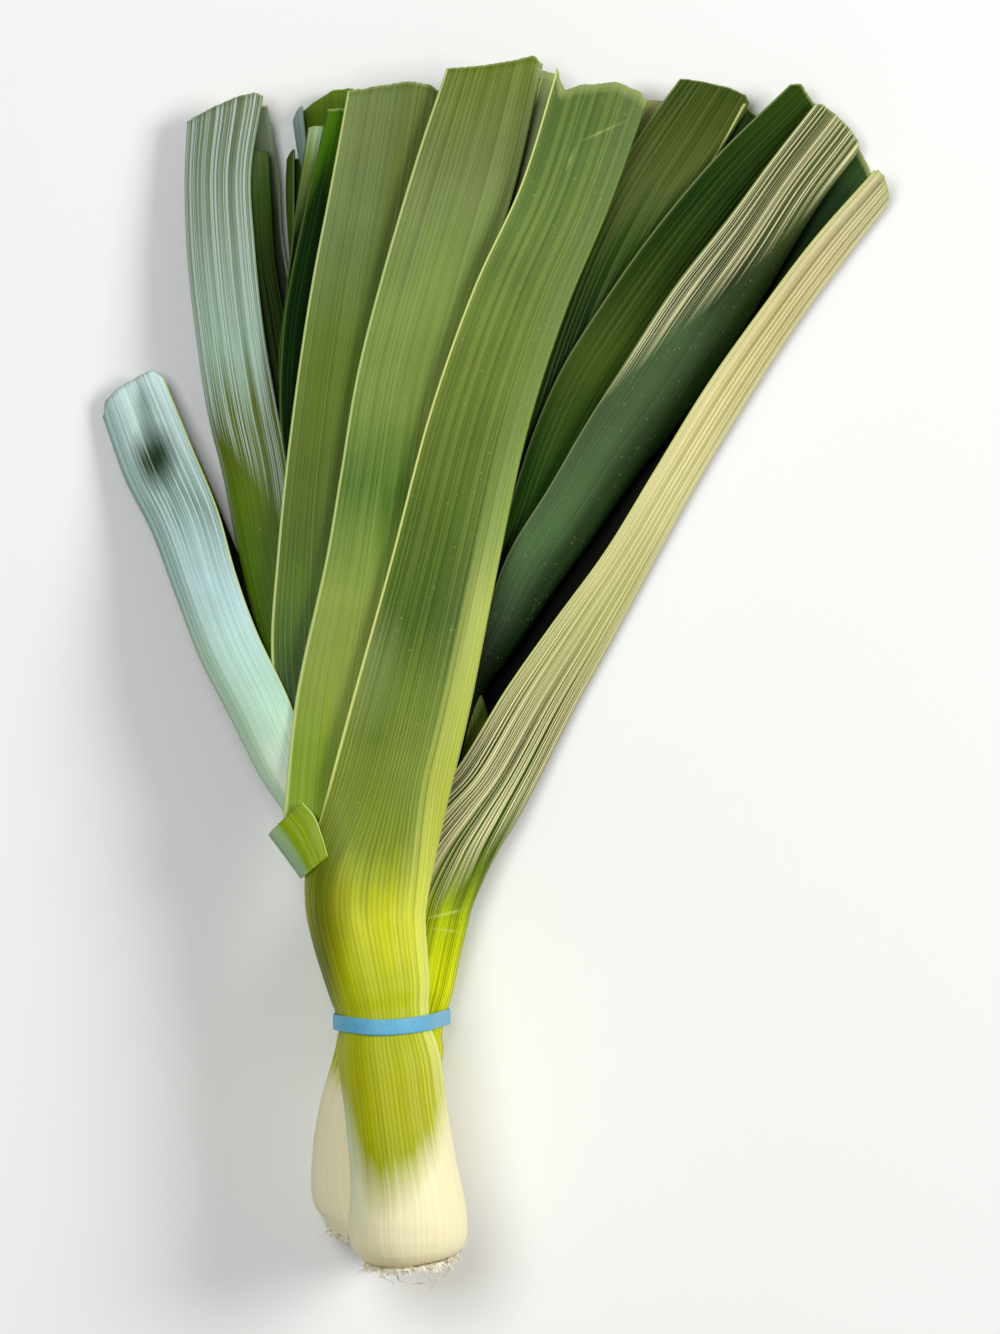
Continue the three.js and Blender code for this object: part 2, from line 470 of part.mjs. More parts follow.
const rearLeaves = {
  rear_leaf_2: {
    keel: [
      [-34.8, -79.6, 16.4], [-39.6, -59.6, 15.6], [-47.6, -27.6, 14.0], [-57.2, 12.4, 12.4], [-66.0, 56.4, 11.0],
      [-73.2, 96.4, 10.0], [-79.6, 136.4, 9.2], [-83.2, 170.4, 8.6], [-84.4, 194.4, 8.4], [-84.0, 206.0, 8.2],
    ],
    near: [
      [-28.4, -79.6, 24.0], [-33.2, -59.6, 22.0], [-41.2, -27.6, 19.4], [-51.6, 12.4, 17.2], [-61.2, 56.4, 15.4],
      [-69.2, 96.4, 14.0], [-76.4, 136.4, 13.0], [-80.6, 170.4, 12.2], [-81.2, 194.4, 12.0], [-81.2, 210.0, 11.6],
    ],
    far: [
      [-19.6, -79.6, 8.0], [-22.8, -59.6, 6.0], [-28.0, -27.6, 4.0], [-34.8, 12.4, 2.4], [-42.0, 56.4, 1.6],
      [-49.2, 96.4, 1.4], [-55.6, 136.4, 1.4], [-58.8, 170.4, 1.4], [-60.0, 194.4, 1.4], [-60.0, 212.0, 1.4],
    ],
    nearTip: [0, -0.8, -1.2, -1.2, -0.6, 0],
  },
  rear_leaf_3: {
    keel: [
      [-13.2, -67.6, 16.8], [-10.8, -39.6, 15.0], [-5.2, -10.4, 13.4], [8.8, 9.2, 11.8], [24.4, 32.4, 10.4],
      [40.0, 53.6, 9.4], [58.0, 78.8, 8.8], [75.2, 100.4, 8.6], [93.2, 126.0, 8.6], [113.2, 158.4, 8.8],
      [130.0, 186.8, 9.2], [146.4, 208.8, 9.6],
    ],
    near: [
      [-34.0, -67.6, 26.4], [-28.0, -39.6, 25.6], [-17.6, -7.6, 24.8], [-4.8, 20.4, 24.2], [5.6, 47.6, 23.6],
      [21.6, 73.6, 23.0], [37.2, 100.4, 22.4], [52.0, 123.6, 22.0], [71.2, 153.2, 21.6], [94.0, 182.4, 21.2],
      [110.8, 205.2, 20.6], [128.0, 227.2, 19.6],
    ],
    far: [
      [-32.0, -67.6, 9.4], [-26.0, -39.6, 7.6], [-15.0, -7.6, 6.4], [-2.8, 20.4, 5.8], [8.0, 47.6, 5.4],
      [24.0, 72.0, 5.0], [40.0, 98.0, 5.0], [55.0, 121.0, 5.0], [74.0, 150.0, 5.0], [97.0, 179.0, 5.2],
      [114.0, 202.0, 5.6], [131.0, 223.0, 6.0],
    ],
    nearTip: [-1, -3.4, -4.3, -3.9, -3, -1],
  },
  rear_leaf_4: {
    keel: [
      [-34.0, -67.6, 17.4], [-41.2, -31.6, 16.0], [-50.0, 8.4, 14.6], [-58.0, 48.4, 13.4], [-65.2, 88.4, 12.6],
      [-71.6, 132.4, 12.0], [-75.6, 168.4, 11.8], [-77.4, 198.4, 11.8], [-79.6, 208.8, 12.0], [-81.4, 221.0, 12.4],
    ],
    near: [
      [-30.0, -67.6, 22.4], [-36.4, -31.6, 20.8], [-45.2, 8.4, 19.2], [-53.2, 48.4, 17.8], [-60.4, 88.4, 16.8],
      [-67.2, 132.4, 16.2], [-71.6, 168.4, 16.2], [-73.6, 196.4, 16.6], [-75.6, 209.4, 17.4], [-77.4, 226.6, 18.4],
    ],
    far: [
      [-22.0, -67.6, 13.0], [-26.8, -31.6, 10.4], [-32.4, 8.4, 8.6], [-38.8, 48.4, 7.2], [-45.2, 88.4, 6.2],
      [-50.8, 132.4, 5.6], [-54.0, 168.4, 5.4], [-55.6, 196.4, 5.6], [-57.2, 212.4, 6.2], [-57.2, 234.8, 7.4],
    ],
    nearTip: [0, -1.5, -3, -3, -1.5, 0],
    farTip: [0, -4, -6.5, -6.6, -2.4, 0],
  },
  rear_leaf_5: {
    keel: [
      [-9.0, -11.6, 15.0], [9.2, 21.2, 13.2], [24.4, 52.4, 12.0], [38.0, 81.2, 11.2], [50.8, 104.4, 10.8],
      [62.0, 122.0, 10.6], [79.6, 146.0, 10.6], [93.2, 165.2, 10.6], [110.8, 188.4, 10.8], [134.0, 215.2, 11.2],
    ],
    near: [
      [-22.0, -7.6, 21.8], [-6.4, 28.4, 20.4], [5.2, 64.4, 19.2], [15.6, 96.4, 18.4], [26.8, 121.6, 18.0],
      [38.8, 141.2, 17.6], [58.0, 169.2, 17.4], [72.0, 187.2, 17.2], [90.8, 208.8, 17.2], [118.0, 235.0, 17.2],
    ],
    far: [
      [-20.0, -7.6, 11.6], [-4.0, 28.4, 9.8], [8.0, 62.0, 8.6], [18.0, 94.0, 7.8], [29.0, 119.0, 7.6],
      [41.0, 138.0, 7.6], [58.0, 163.0, 7.6], [72.0, 184.0, 7.6], [87.2, 206.0, 7.8], [101.6, 227.2, 8.2],
    ],
    nearTip: [-1, -2, -2.8, -3.2, -3.6, -1],
    farTip: [0, 0, 4, 6, 2, 0],
  },
  rear_leaf_6: {
    keel: [
      [-24.0, -39.6, 17.4], [-30.0, -3.6, 16.6], [-33.6, 40.4, 15.6], [-33.6, 84.4, 14.8], [-30.8, 124.4, 14.2],
      [-26.4, 164.4, 13.8], [-20.0, 204.4, 13.6], [-16.0, 226.0, 13.6],
    ],
    near: [
      [-12.0, -39.6, 21.0], [-12.0, -3.6, 20.4], [-11.2, 40.4, 19.4], [-9.2, 84.4, 18.8], [-4.8, 124.4, 18.4],
      [0.4, 164.4, 18.0], [6.8, 204.4, 17.8], [11.2, 226.0, 17.8],
    ],
    nearTip: [0, 0, 0, 1, 2, 2],
  },
  rear_leaf_7: {
    keel: [
      [-10.8, -11.6, 17.0], [0.4, 16.4, 15.6], [12.4, 43.4, 14.6], [24.0, 75.6, 13.6], [36.0, 106.0, 13.0],
      [48.8, 136.4, 12.8], [62.8, 163.6, 12.8], [76.4, 186.4, 12.8], [90.8, 208.4, 13.0], [102.0, 228.0, 13.2],
    ],
    near: [
      [-22.0, -9.6, 20.4], [-14.0, 18.4, 19.2], [-5.2, 46.4, 18.2], [5.2, 78.4, 17.2], [14.0, 110.4, 16.6],
      [23.2, 140.4, 16.4], [34.0, 170.4, 16.2], [46.8, 197.2, 16.2], [62.0, 221.2, 16.4], [74.0, 237.6, 16.6],
    ],
    far: [
      [-22.0, -9.6, 13.6], [-14.0, 18.4, 12.0], [-5.2, 46.4, 11.0], [5.2, 78.4, 10.0], [14.0, 110.4, 9.4],
      [22.4, 140.4, 9.2], [32.0, 171.4, 9.2], [43.2, 199.0, 9.2], [52.8, 217.0, 9.4], [60.4, 229.8, 9.6],
    ],
    nearTip: [-1.4, -4.4, -5.1, -3.9, -2.2, -0.8],
    farTip: [0, 0, 0, 0, 0, 0],
  },
};

const frontHairs = [
  [-0.25, 15.5, [19, -4, 3], [21.5, -5, 1], [24, -6, -2]],
  [-0.6, 15.5, [15, -10, 5.5], [12, -12, 8.5], [8, -13, 8]],
  [-1.6, 15.5, [-5, -16, 6], [1, -16.5, 8], [6, -17, 9], [11, -17, 8.5]],
  [-2.2, 15.5, [-7.5, -14, 6], [-8, -14, 8.5]],
  [-1.0, 15.5, [9, -15, 8], [8, -15, 11.5], [0, -15, 12.5], [-6, -15, 11.5]],
];
const rearHairs = [
  [2.9, 14.5, [-17, 3, 1], [-20.5, 4, -1.5], [-24, 4, 0.5]],
  [3.3, 14.5, [-15, -2, 3], [-18, -3, 5], [-21, -3, 5]],
];

// The rubber band's route round both shafts: the outline of the two sections in the band's own plane,
// stretched taut, and then given the slight lean that the band has.
function bandSolid() {
  const outline = [];
  for (const shaft of [frontShaft, rearShaft]) {
    for (const y of [-143.5, -139, -134.5]) {
      const next = shaft.findIndex((station) => station[1] > y);
      const share = (y - shaft[next - 1][1]) / (shaft[next][1] - shaft[next - 1][1]);
      const [x, , z, halfWidth, halfDepth] = shaft[next].map((to, k) => mix(shaft[next - 1][k], to, share));
      for (let i = 0; i < 180; i++) {
        const angle = (2 * Math.PI * i) / 180;
        outline.push([
          x + (halfWidth + 1.8 * clearance) * Math.cos(angle),
          z + (halfDepth + 1.6 * clearance) * Math.sin(angle),
        ]);
      }
    }
  }
  // The points farthest out in each direction make the taut line.
  const route = [];
  for (let i = 0; i < 720; i++) {
    const angle = (2 * Math.PI * i) / 720;
    const reach = ([x, z]) => x * Math.cos(angle) + z * Math.sin(angle);
    const farthest = outline.reduce((best, p) => (reach(p) > reach(best) ? p : best));
    if (route.at(-1) !== farthest) route.push(farthest);
  }
  const taut = new THREE.CurvePath();
  route.forEach(([x, z], i) => {
    const [nextX, nextZ] = route[(i + 1) % route.length];
    if (x !== nextX || z !== nextZ) {
      taut.add(new THREE.LineCurve3(new THREE.Vector3(x, 0, z), new THREE.Vector3(nextX, 0, nextZ)));
    }
  });
  // The band dips towards the root end over the middle of the front shaft.
  const leanAt = (p) => -138.6 - 1.7 * Math.cos((p.x + 45) / 13) * Math.max(0, (p.z - 30) / 50);
  const rings = [];
  for (let i = 0; i < stepsRoundBand; i++) {
    const p = taut.getPointAt(i / stepsRoundBand);
    const before = taut.getPointAt((i + stepsRoundBand - 0.4) / stepsRoundBand % 1);
    const after = taut.getPointAt((i + 0.4) / stepsRoundBand % 1);
    const outwards = new THREE.Vector3(after.z - before.z, 0, before.x - after.x).normalize();
    const y = leanAt(p);
    const corner = (side, out) =>
      new THREE.Vector3(p.x, y + (side * bandWidth) / 2, p.z).addScaledVector(outwards, out);
    rings.push([corner(-1, 0), corner(1, 0), corner(1, bandThickness), corner(-1, bandThickness)]);
  }
  const triangles = [];
  rings.forEach((_, i) => {
    for (let j = 0; j < 4; j++) {
      const a = i * 4 + j;
      const b = i * 4 + ((j + 1) % 4);
      const next = ((i + 1) % rings.length) * 4;
      triangles.push([a, b, next + (b % 4)], [a, next + (b % 4), next + (a % 4)]);
    }
  });
  return solidFrom(rings.flat(), triangles);
}

const bunch = new THREE.Group();

// Each leek: the shaft is fused with its outermost leaf, and the younger leaves stop just clear of it.
function addLeek(shaftName, shaft, outerLeaf, leaves) {
  const body = shaftSolid(shaft).add(leafSolid(outerLeaf));
  bunch.add(meshOf(shaftName, body, skinGreen));
  let kept = shaftSolid(shaft, clearance).add(leafSolid(outerLeaf, clearance));
  for (const [name, leaf] of Object.entries(leaves)) {
    const pieces = leafSolid(leaf).subtract(kept).decompose();
    const largest = pieces.sort((a, b) => b.volume() - a.volume())[0];
    bunch.add(meshOf(name, largest, bladeGreen));
    kept = kept.add(leafSolid(leaf, clearance));
  }
}

addLeek("front_shaft_and_outer_leaf", frontShaft, frontOuterLeaf, frontLeaves);
addLeek("rear_shaft_and_outer_leaf", rearShaft, rearOuterLeaf, rearLeaves);

const frontRoots = rootPlate(frontShaft, 7, 36, frontHairs);
const rearRoots = rootPlate(rearShaft, 19, 30, rearHairs);
bunch.add(meshOf("front_root_plate", frontRoots, rootCream));
bunch.add(meshOf("rear_root_plate", rearRoots, rootCream));
bunch.add(meshOf("rubber_band", bandSolid(), bandBlue));

export default bunch;
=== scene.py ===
import math
import random

import bmesh
import bpy
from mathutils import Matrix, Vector, noise


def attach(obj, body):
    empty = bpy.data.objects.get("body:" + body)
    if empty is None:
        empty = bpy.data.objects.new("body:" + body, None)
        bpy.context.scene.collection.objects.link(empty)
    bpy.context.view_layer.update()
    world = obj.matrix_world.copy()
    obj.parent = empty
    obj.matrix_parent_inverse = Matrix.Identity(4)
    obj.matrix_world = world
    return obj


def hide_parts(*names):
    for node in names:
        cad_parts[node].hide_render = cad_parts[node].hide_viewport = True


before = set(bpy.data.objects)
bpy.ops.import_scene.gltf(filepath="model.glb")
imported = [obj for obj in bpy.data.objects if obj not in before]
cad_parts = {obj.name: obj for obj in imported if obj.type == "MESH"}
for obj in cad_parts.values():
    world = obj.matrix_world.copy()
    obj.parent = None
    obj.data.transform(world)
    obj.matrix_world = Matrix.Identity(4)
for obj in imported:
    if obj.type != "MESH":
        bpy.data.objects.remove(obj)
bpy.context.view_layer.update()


# The table the leeks lie on, the view straight down onto them, and the lights: a strong soft lamp on the
# right and a wide one overhead, in a dim room.
def set_out(name, body, smooth):
    """Makes a bmesh an object of that name, at the origin."""
    mesh = bpy.data.meshes.new(name)
    body.to_mesh(mesh)
    body.free()
    mesh.polygons.foreach_set("use_smooth", [smooth] * len(mesh.polygons))
    piece = bpy.data.objects.new(name, mesh)
    bpy.context.collection.objects.link(piece)
    return piece


def new_finish(name):
    """A plain finish, and the inputs of its surface."""
    finish = bpy.data.materials.new(name)
    finish.use_nodes = True
    return finish, finish.node_tree.nodes["Principled BSDF"].inputs


table = bmesh.new()
bmesh.ops.create_grid(table, x_segments=1, y_segments=1, size=4.0)
table_object = set_out("table", table, False)
table_paint, surface = new_finish("pale_table")
surface["Base Color"].default_value = (0.93, 0.93, 0.92, 1)
surface["Roughness"].default_value = 0.8
table_object.data.materials.append(table_paint)


def lamp(name, place, aim, size, watts, colour):
    light = bpy.data.lights.new(name, "AREA")
    light.shape = "DISK"
    light.size = size
    light.energy = watts
    light.color = colour
    holder = bpy.data.objects.new(name, light)
    holder.location = place
    holder.rotation_euler = (Vector(aim) - Vector(place)).to_track_quat("-Z", "Y").to_euler()
    bpy.context.collection.objects.link(holder)


lamp("lamp_right", (1.95, 0.5, 1.75), aim=(0, 0, 0.03), size=1.2, watts=46, colour=(1.0, 0.985, 0.95))
lamp("lamp_above", (-0.6, 0.5, 2.6), aim=(0, 0, 0), size=1.2, watts=34, colour=(0.97, 0.99, 1.0))

sky = bpy.data.worlds.new("soft_room")
sky.use_nodes = True
room = sky.node_tree.nodes["Background"].inputs
room["Color"].default_value = (0.97, 0.99, 1.0, 1)
room["Strength"].default_value = 0.17
bpy.context.scene.world = sky
bpy.context.scene.view_settings.view_transform = "Standard"

view_distance = 3.0
view_height = 0.5336
bunch_middle = (0.002, 0.0016, 0.03)
lens = bpy.data.cameras.new("view_from_above")
lens.sensor_fit = "VERTICAL"
lens.sensor_height = 24.0
lens.lens = lens.sensor_height * view_distance / view_height
eye = bpy.data.objects.new("view_from_above", lens)
eye.location = Vector(bunch_middle) + Vector((0, 0, view_distance))
bpy.context.collection.objects.link(eye)
bpy.context.scene.camera = eye


# The front leek's skin is one growth: a white bulb end, a green shaft of closed sheath, and then the
# outermost leaf, which opens on the left at the neck and stands up as a folded blade. Shapes are in mm.
mm = 0.001


def line_through(points):
    """A smooth line through points, carried straight on past its end."""
    knots = [Vector(point) for point in points]
    knots = [knots[0] * 2 - knots[1]] + knots + [knots[-1] * 2 - knots[-2]]
    gaps = [max((b - a).length ** 0.5, 1e-4) for a, b in zip(knots, knots[1:])]

    def point(along):
        place = min(max(along, 0.0), 1.0) * (len(knots) - 3)
        i = min(int(place), len(knots) - 4)
        share = place - i
        a, b, c, d = knots[i:i + 4]
        before, here, after = gaps[i:i + 3]
        leaving = ((b - a) / before - (c - a) / (before + here) + (c - b) / here) * here
        arriving = ((c - b) / here - (d - b) / (here + after) + (d - c) / after) * here
        bend = 3 * (c - b) - 2 * leaving - arriving
        swing = 2 * (b - c) + leaving + arriving
        found = b + leaving * share + bend * share * share + swing * share ** 3
        if along > 1:
            found = found + (knots[-2] - knots[-3]) * (along - 1) * (len(knots) - 3)
        return found

    return point


def mixed(first, second, share):
    return first + (second - first) * share


def eased(share):
    return share * share * (3 - 2 * share)


def knife_cut(set_back, share):
    """How far the cut stands back from the rails' ends, given at six places from the keel to a margin."""
    places = (0, 0.12, 0.35, 0.65, 0.88, 1.001)
    i = next(i for i in range(5) if share < places[i + 1])
    step = (share - places[i]) / (places[i + 1] - places[i])
    return mixed(set_back[i], set_back[i + 1], eased(step) * 0.6 + step * 0.4)


def leaf_body(name, leaf, columns, rows, relief, ribs, thick, seed):
    """A folded leaf. Its rails, in mm, are the keel, the near margin on top and the far margin below."""
    keel, near, far = [line_through(leaf[rail]) for rail in ("keel", "near", "far")]
    sheath = line_through([(depth, 0, 0) for depth in leaf["sheath"]]) if "sheath" in leaf else None
    keel_length = sum((Vector(b) - Vector(a)).length for a, b in zip(leaf["keel"], leaf["keel"][1:]))
    length = leaf.get("length", keel_length)
    foot_fold, tip_fold = 2.4, 1.3
    fray_depth, frays_across = 0.25, 60
    body = bmesh.new()
    marks = body.loops.layers.uv.new("UVMap")
    bmesh.ops.create_grid(body, x_segments=columns, y_segments=rows, size=0.5, calc_uvs=True)
    for vertex in body.verts:
        over, up = vertex.co.x + 0.5, vertex.co.y + 0.5
        side = 1 if over >= 0.5 else -1
        out = abs(2 * over - 1)
        set_back = knife_cut(leaf["near_tip"] if side > 0 else leaf["far_tip"], out)
        frayed = fray_depth * noise.noise(Vector((over * frays_across, seed, 0.3)))
        along = up * (1 - (set_back + frayed) / length)
        ridge = keel(along)
        margin = (near if side > 0 else far)(along)
        middle = ridge.lerp(margin, 0.5)
        depth, closed = 0.0, 0.0
        if sheath:
            depth = sheath(along).x
            opens, open_wide = leaf["opens"]
            closed = 1 - eased(min(max((middle.y - opens) / (open_wide - opens), 0), 1))
        share = mixed(out, (1 - math.cos(math.pi * out)) / 2, closed)
        fold = mixed(foot_fold, tip_fold, min(along, 1.0))
        folded = (1 - (1 - share) ** fold) ** (1 / fold)
        rolled = math.sqrt(max(0.0, 1 - (2 * share - 1) ** 2))
        lift = mixed(abs(margin.z - ridge.z) * folded, depth * rolled, closed)
        rib = noise.noise(Vector((over * ribs, up * 3, seed)))
        fine_rib = noise.noise(Vector((over * ribs * 3.1, up * 5, seed + 9)))
        swell = noise.noise(Vector((over * 3, up * 9, seed + 4)))
        high = relief * (rib + 0.5 * fine_rib + 1.5 * swell * out)
        spot = ridge.lerp(margin, share)
        if closed > 0.5:
            outwards = Vector((spot.x - middle.x, spot.y - middle.y, side * lift)).normalized()
            spot = Vector((spot.x, spot.y, ridge.z + side * lift)) + outwards * high
            # A bulb that nods reaches further down on its upper side than on its lower one.
            spot.y -= side * lift * leaf.get("nod", 0.0) * max(0.0, 1 - 6 * along) ** 2
        else:
            spot.z = ridge.z + side * (lift + high * min(1.0, out * 8))
        for x, y, wide, long, deep in leaf.get("dents", ()) if side > 0 else ():
            spot.z -= deep * math.exp(-(((spot.x - x) / wide) ** 2) - ((spot.y - y) / long) ** 2)
        spot.z = max(spot.z, 0.0)
        vertex.co = spot * mm
    bmesh.ops.remove_doubles(body, verts=body.verts, dist=0.02 * mm)
    body.normal_update()
    upper = [face for face in body.faces if face.loops[0][marks].uv.x > 0.6]
    if sum(face.normal.z * face.calc_area() for face in upper) < 0:
        bmesh.ops.reverse_faces(body, faces=body.faces)
    piece = set_out(name, body, True)
    skin = piece.modifiers.new("thickness", "SOLIDIFY")
    skin.thickness = thick * mm
    skin.offset = -1
    skin.use_even_offset = False
    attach(piece, "root")
    return piece


def opened_sheath(stations, blade, opens):
    """Rails of a shaft, one section after another, that run on as the rails of its outermost leaf."""
    leaf = {"keel": [], "near": [], "far": [], "sheath": [], "opens": opens}
    middle = line_through([station[:3] for station in stations])
    for i, (x, y, z, half_width, half_depth, turn) in enumerate(stations):
        here = i / (len(stations) - 1)
        ahead = middle(min(here + 0.01, 1)) - middle(max(here - 0.01, 0))
        angle = math.atan2(ahead.y, ahead.x) + math.radians(turn)
        aside = Vector((math.sin(angle), -math.cos(angle), 0)) * half_width
        leaf["keel"].append(Vector((x, y, z)) + aside)
        leaf["near"].append(Vector((x, y, z)) - aside)
        leaf["far"].append(Vector((x, y, z)) - aside)
        leaf["sheath"].append(half_depth)
    for section in blade:
        for rail, place in zip(("keel", "near", "far", "sheath"), section):
            leaf[rail].append(place)
    return leaf


def paint(red, green, blue):
    """A colour as a picture has it, 0 to 255, made the colour that a surface takes."""
    return tuple((level / 255) ** 2.2 for level in (red, green, blue)) + (1.0,)


def new_node(finish, kind):
    return finish.node_tree.nodes.new("ShaderNode" + kind)


def feed(finish, value, socket):
    """Puts a number or a colour on a socket, or links the socket to another node."""
    if isinstance(value, (int, float, tuple)):
        socket.default_value = value
    else:
        finish.node_tree.links.new(value, socket)


def worked(finish, kind, *values):
    node = new_node(finish, "Math")
    node.operation = kind
    for value, socket in zip(values, node.inputs):
        feed(finish, value, socket)
    return node.outputs[0]


def times(finish, first, second):
    return worked(finish, "MULTIPLY", first, second)


def scaled(finish, value, by, plus):
    return worked(finish, "MULTIPLY_ADD", value, by, plus)


def ramp(finish, value, *stops):
    """Colours, or plain levels of grey, that follow one another as a value rises."""
    node = new_node(finish, "ValToRGB")
    elements = node.color_ramp.elements
    elements.remove(elements[1])
    for i, (place, tone) in enumerate(stops):
        element = elements.new(place) if i else elements[0]
        element.position = place
        element.color = tone if isinstance(tone, tuple) else (tone, tone, tone, 1)
    feed(finish, value, node.inputs[0])
    return node.outputs[0]


def mix_colour(finish, amount, first, second, kind="MIX"):
    """Mixes two colours, on the sockets that a Mix node keeps for them."""
    amount_socket, first_socket, second_socket, mixed_socket = 0, 6, 7, 2
    node = new_node(finish, "Mix")
    node.data_type = "RGBA"
    node.blend_type = kind
    feed(finish, amount, node.inputs[amount_socket])
    feed(finish, first, node.inputs[first_socket])
    feed(finish, second, node.inputs[second_socket])
    return node.outputs[mixed_socket]


def parted(finish, vector):
    node = new_node(finish, "SeparateXYZ")
    feed(finish, vector, node.inputs[0])
    return node.outputs[0], node.outputs[1], node.outputs[2]


def speckle(finish, place, scale, detail):
    """Noise of an even grain."""
    node = new_node(finish, "TexNoise")
    node.inputs["Scale"].default_value = scale
    node.inputs["Detail"].default_value = detail
    feed(finish, place, node.inputs["Vector"])
    return node.outputs[0]


def grain(finish, over, y, detail, wide, long, seed):
    """Noise drawn out along the leaf, the way its veins run."""
    vector = new_node(finish, "CombineXYZ")
    feed(finish, times(finish, over, wide), vector.inputs[0])
    feed(finish, times(finish, y, long), vector.inputs[1])
    vector.inputs[2].default_value = seed
    return speckle(finish, vector.outputs[0], scale=1, detail=detail)


def relief_on(finish, height, strength, distance):
    """Gives a surface fine relief."""
    bump = new_node(finish, "Bump")
    bump.inputs["Strength"].default_value = strength
    bump.inputs["Distance"].default_value = distance
    feed(finish, height, bump.inputs["Height"])
    feed(finish, bump.outputs[0], finish.node_tree.nodes["Principled BSDF"].inputs["Normal"])


def spotted(finish, place, colour, spot, patchy):
    """A soft blot, a scratch or a patch of painted shade on a leaf: a ball of colour, drawn out and turned.
    """
    centre, size, strength, tone, turn = spot
    shifter = new_node(finish, "Mapping")
    shifter.vector_type = "TEXTURE"
    shifter.inputs["Location"].default_value = [length * mm for length in centre]
    shifter.inputs["Scale"].default_value = [length * mm for length in size]
    shifter.inputs["Rotation"].default_value[2] = math.radians(turn)
    feed(finish, place, shifter.inputs[0])
    ball = new_node(finish, "TexGradient")
    ball.gradient_type = "SPHERICAL"
    feed(finish, shifter.outputs[0], ball.inputs[0])
    soft = ramp(finish, times(finish, ball.outputs[1], patchy), (0.02, 0), (0.36, strength))
    return mix_colour(finish, soft, colour, paint(*tone))


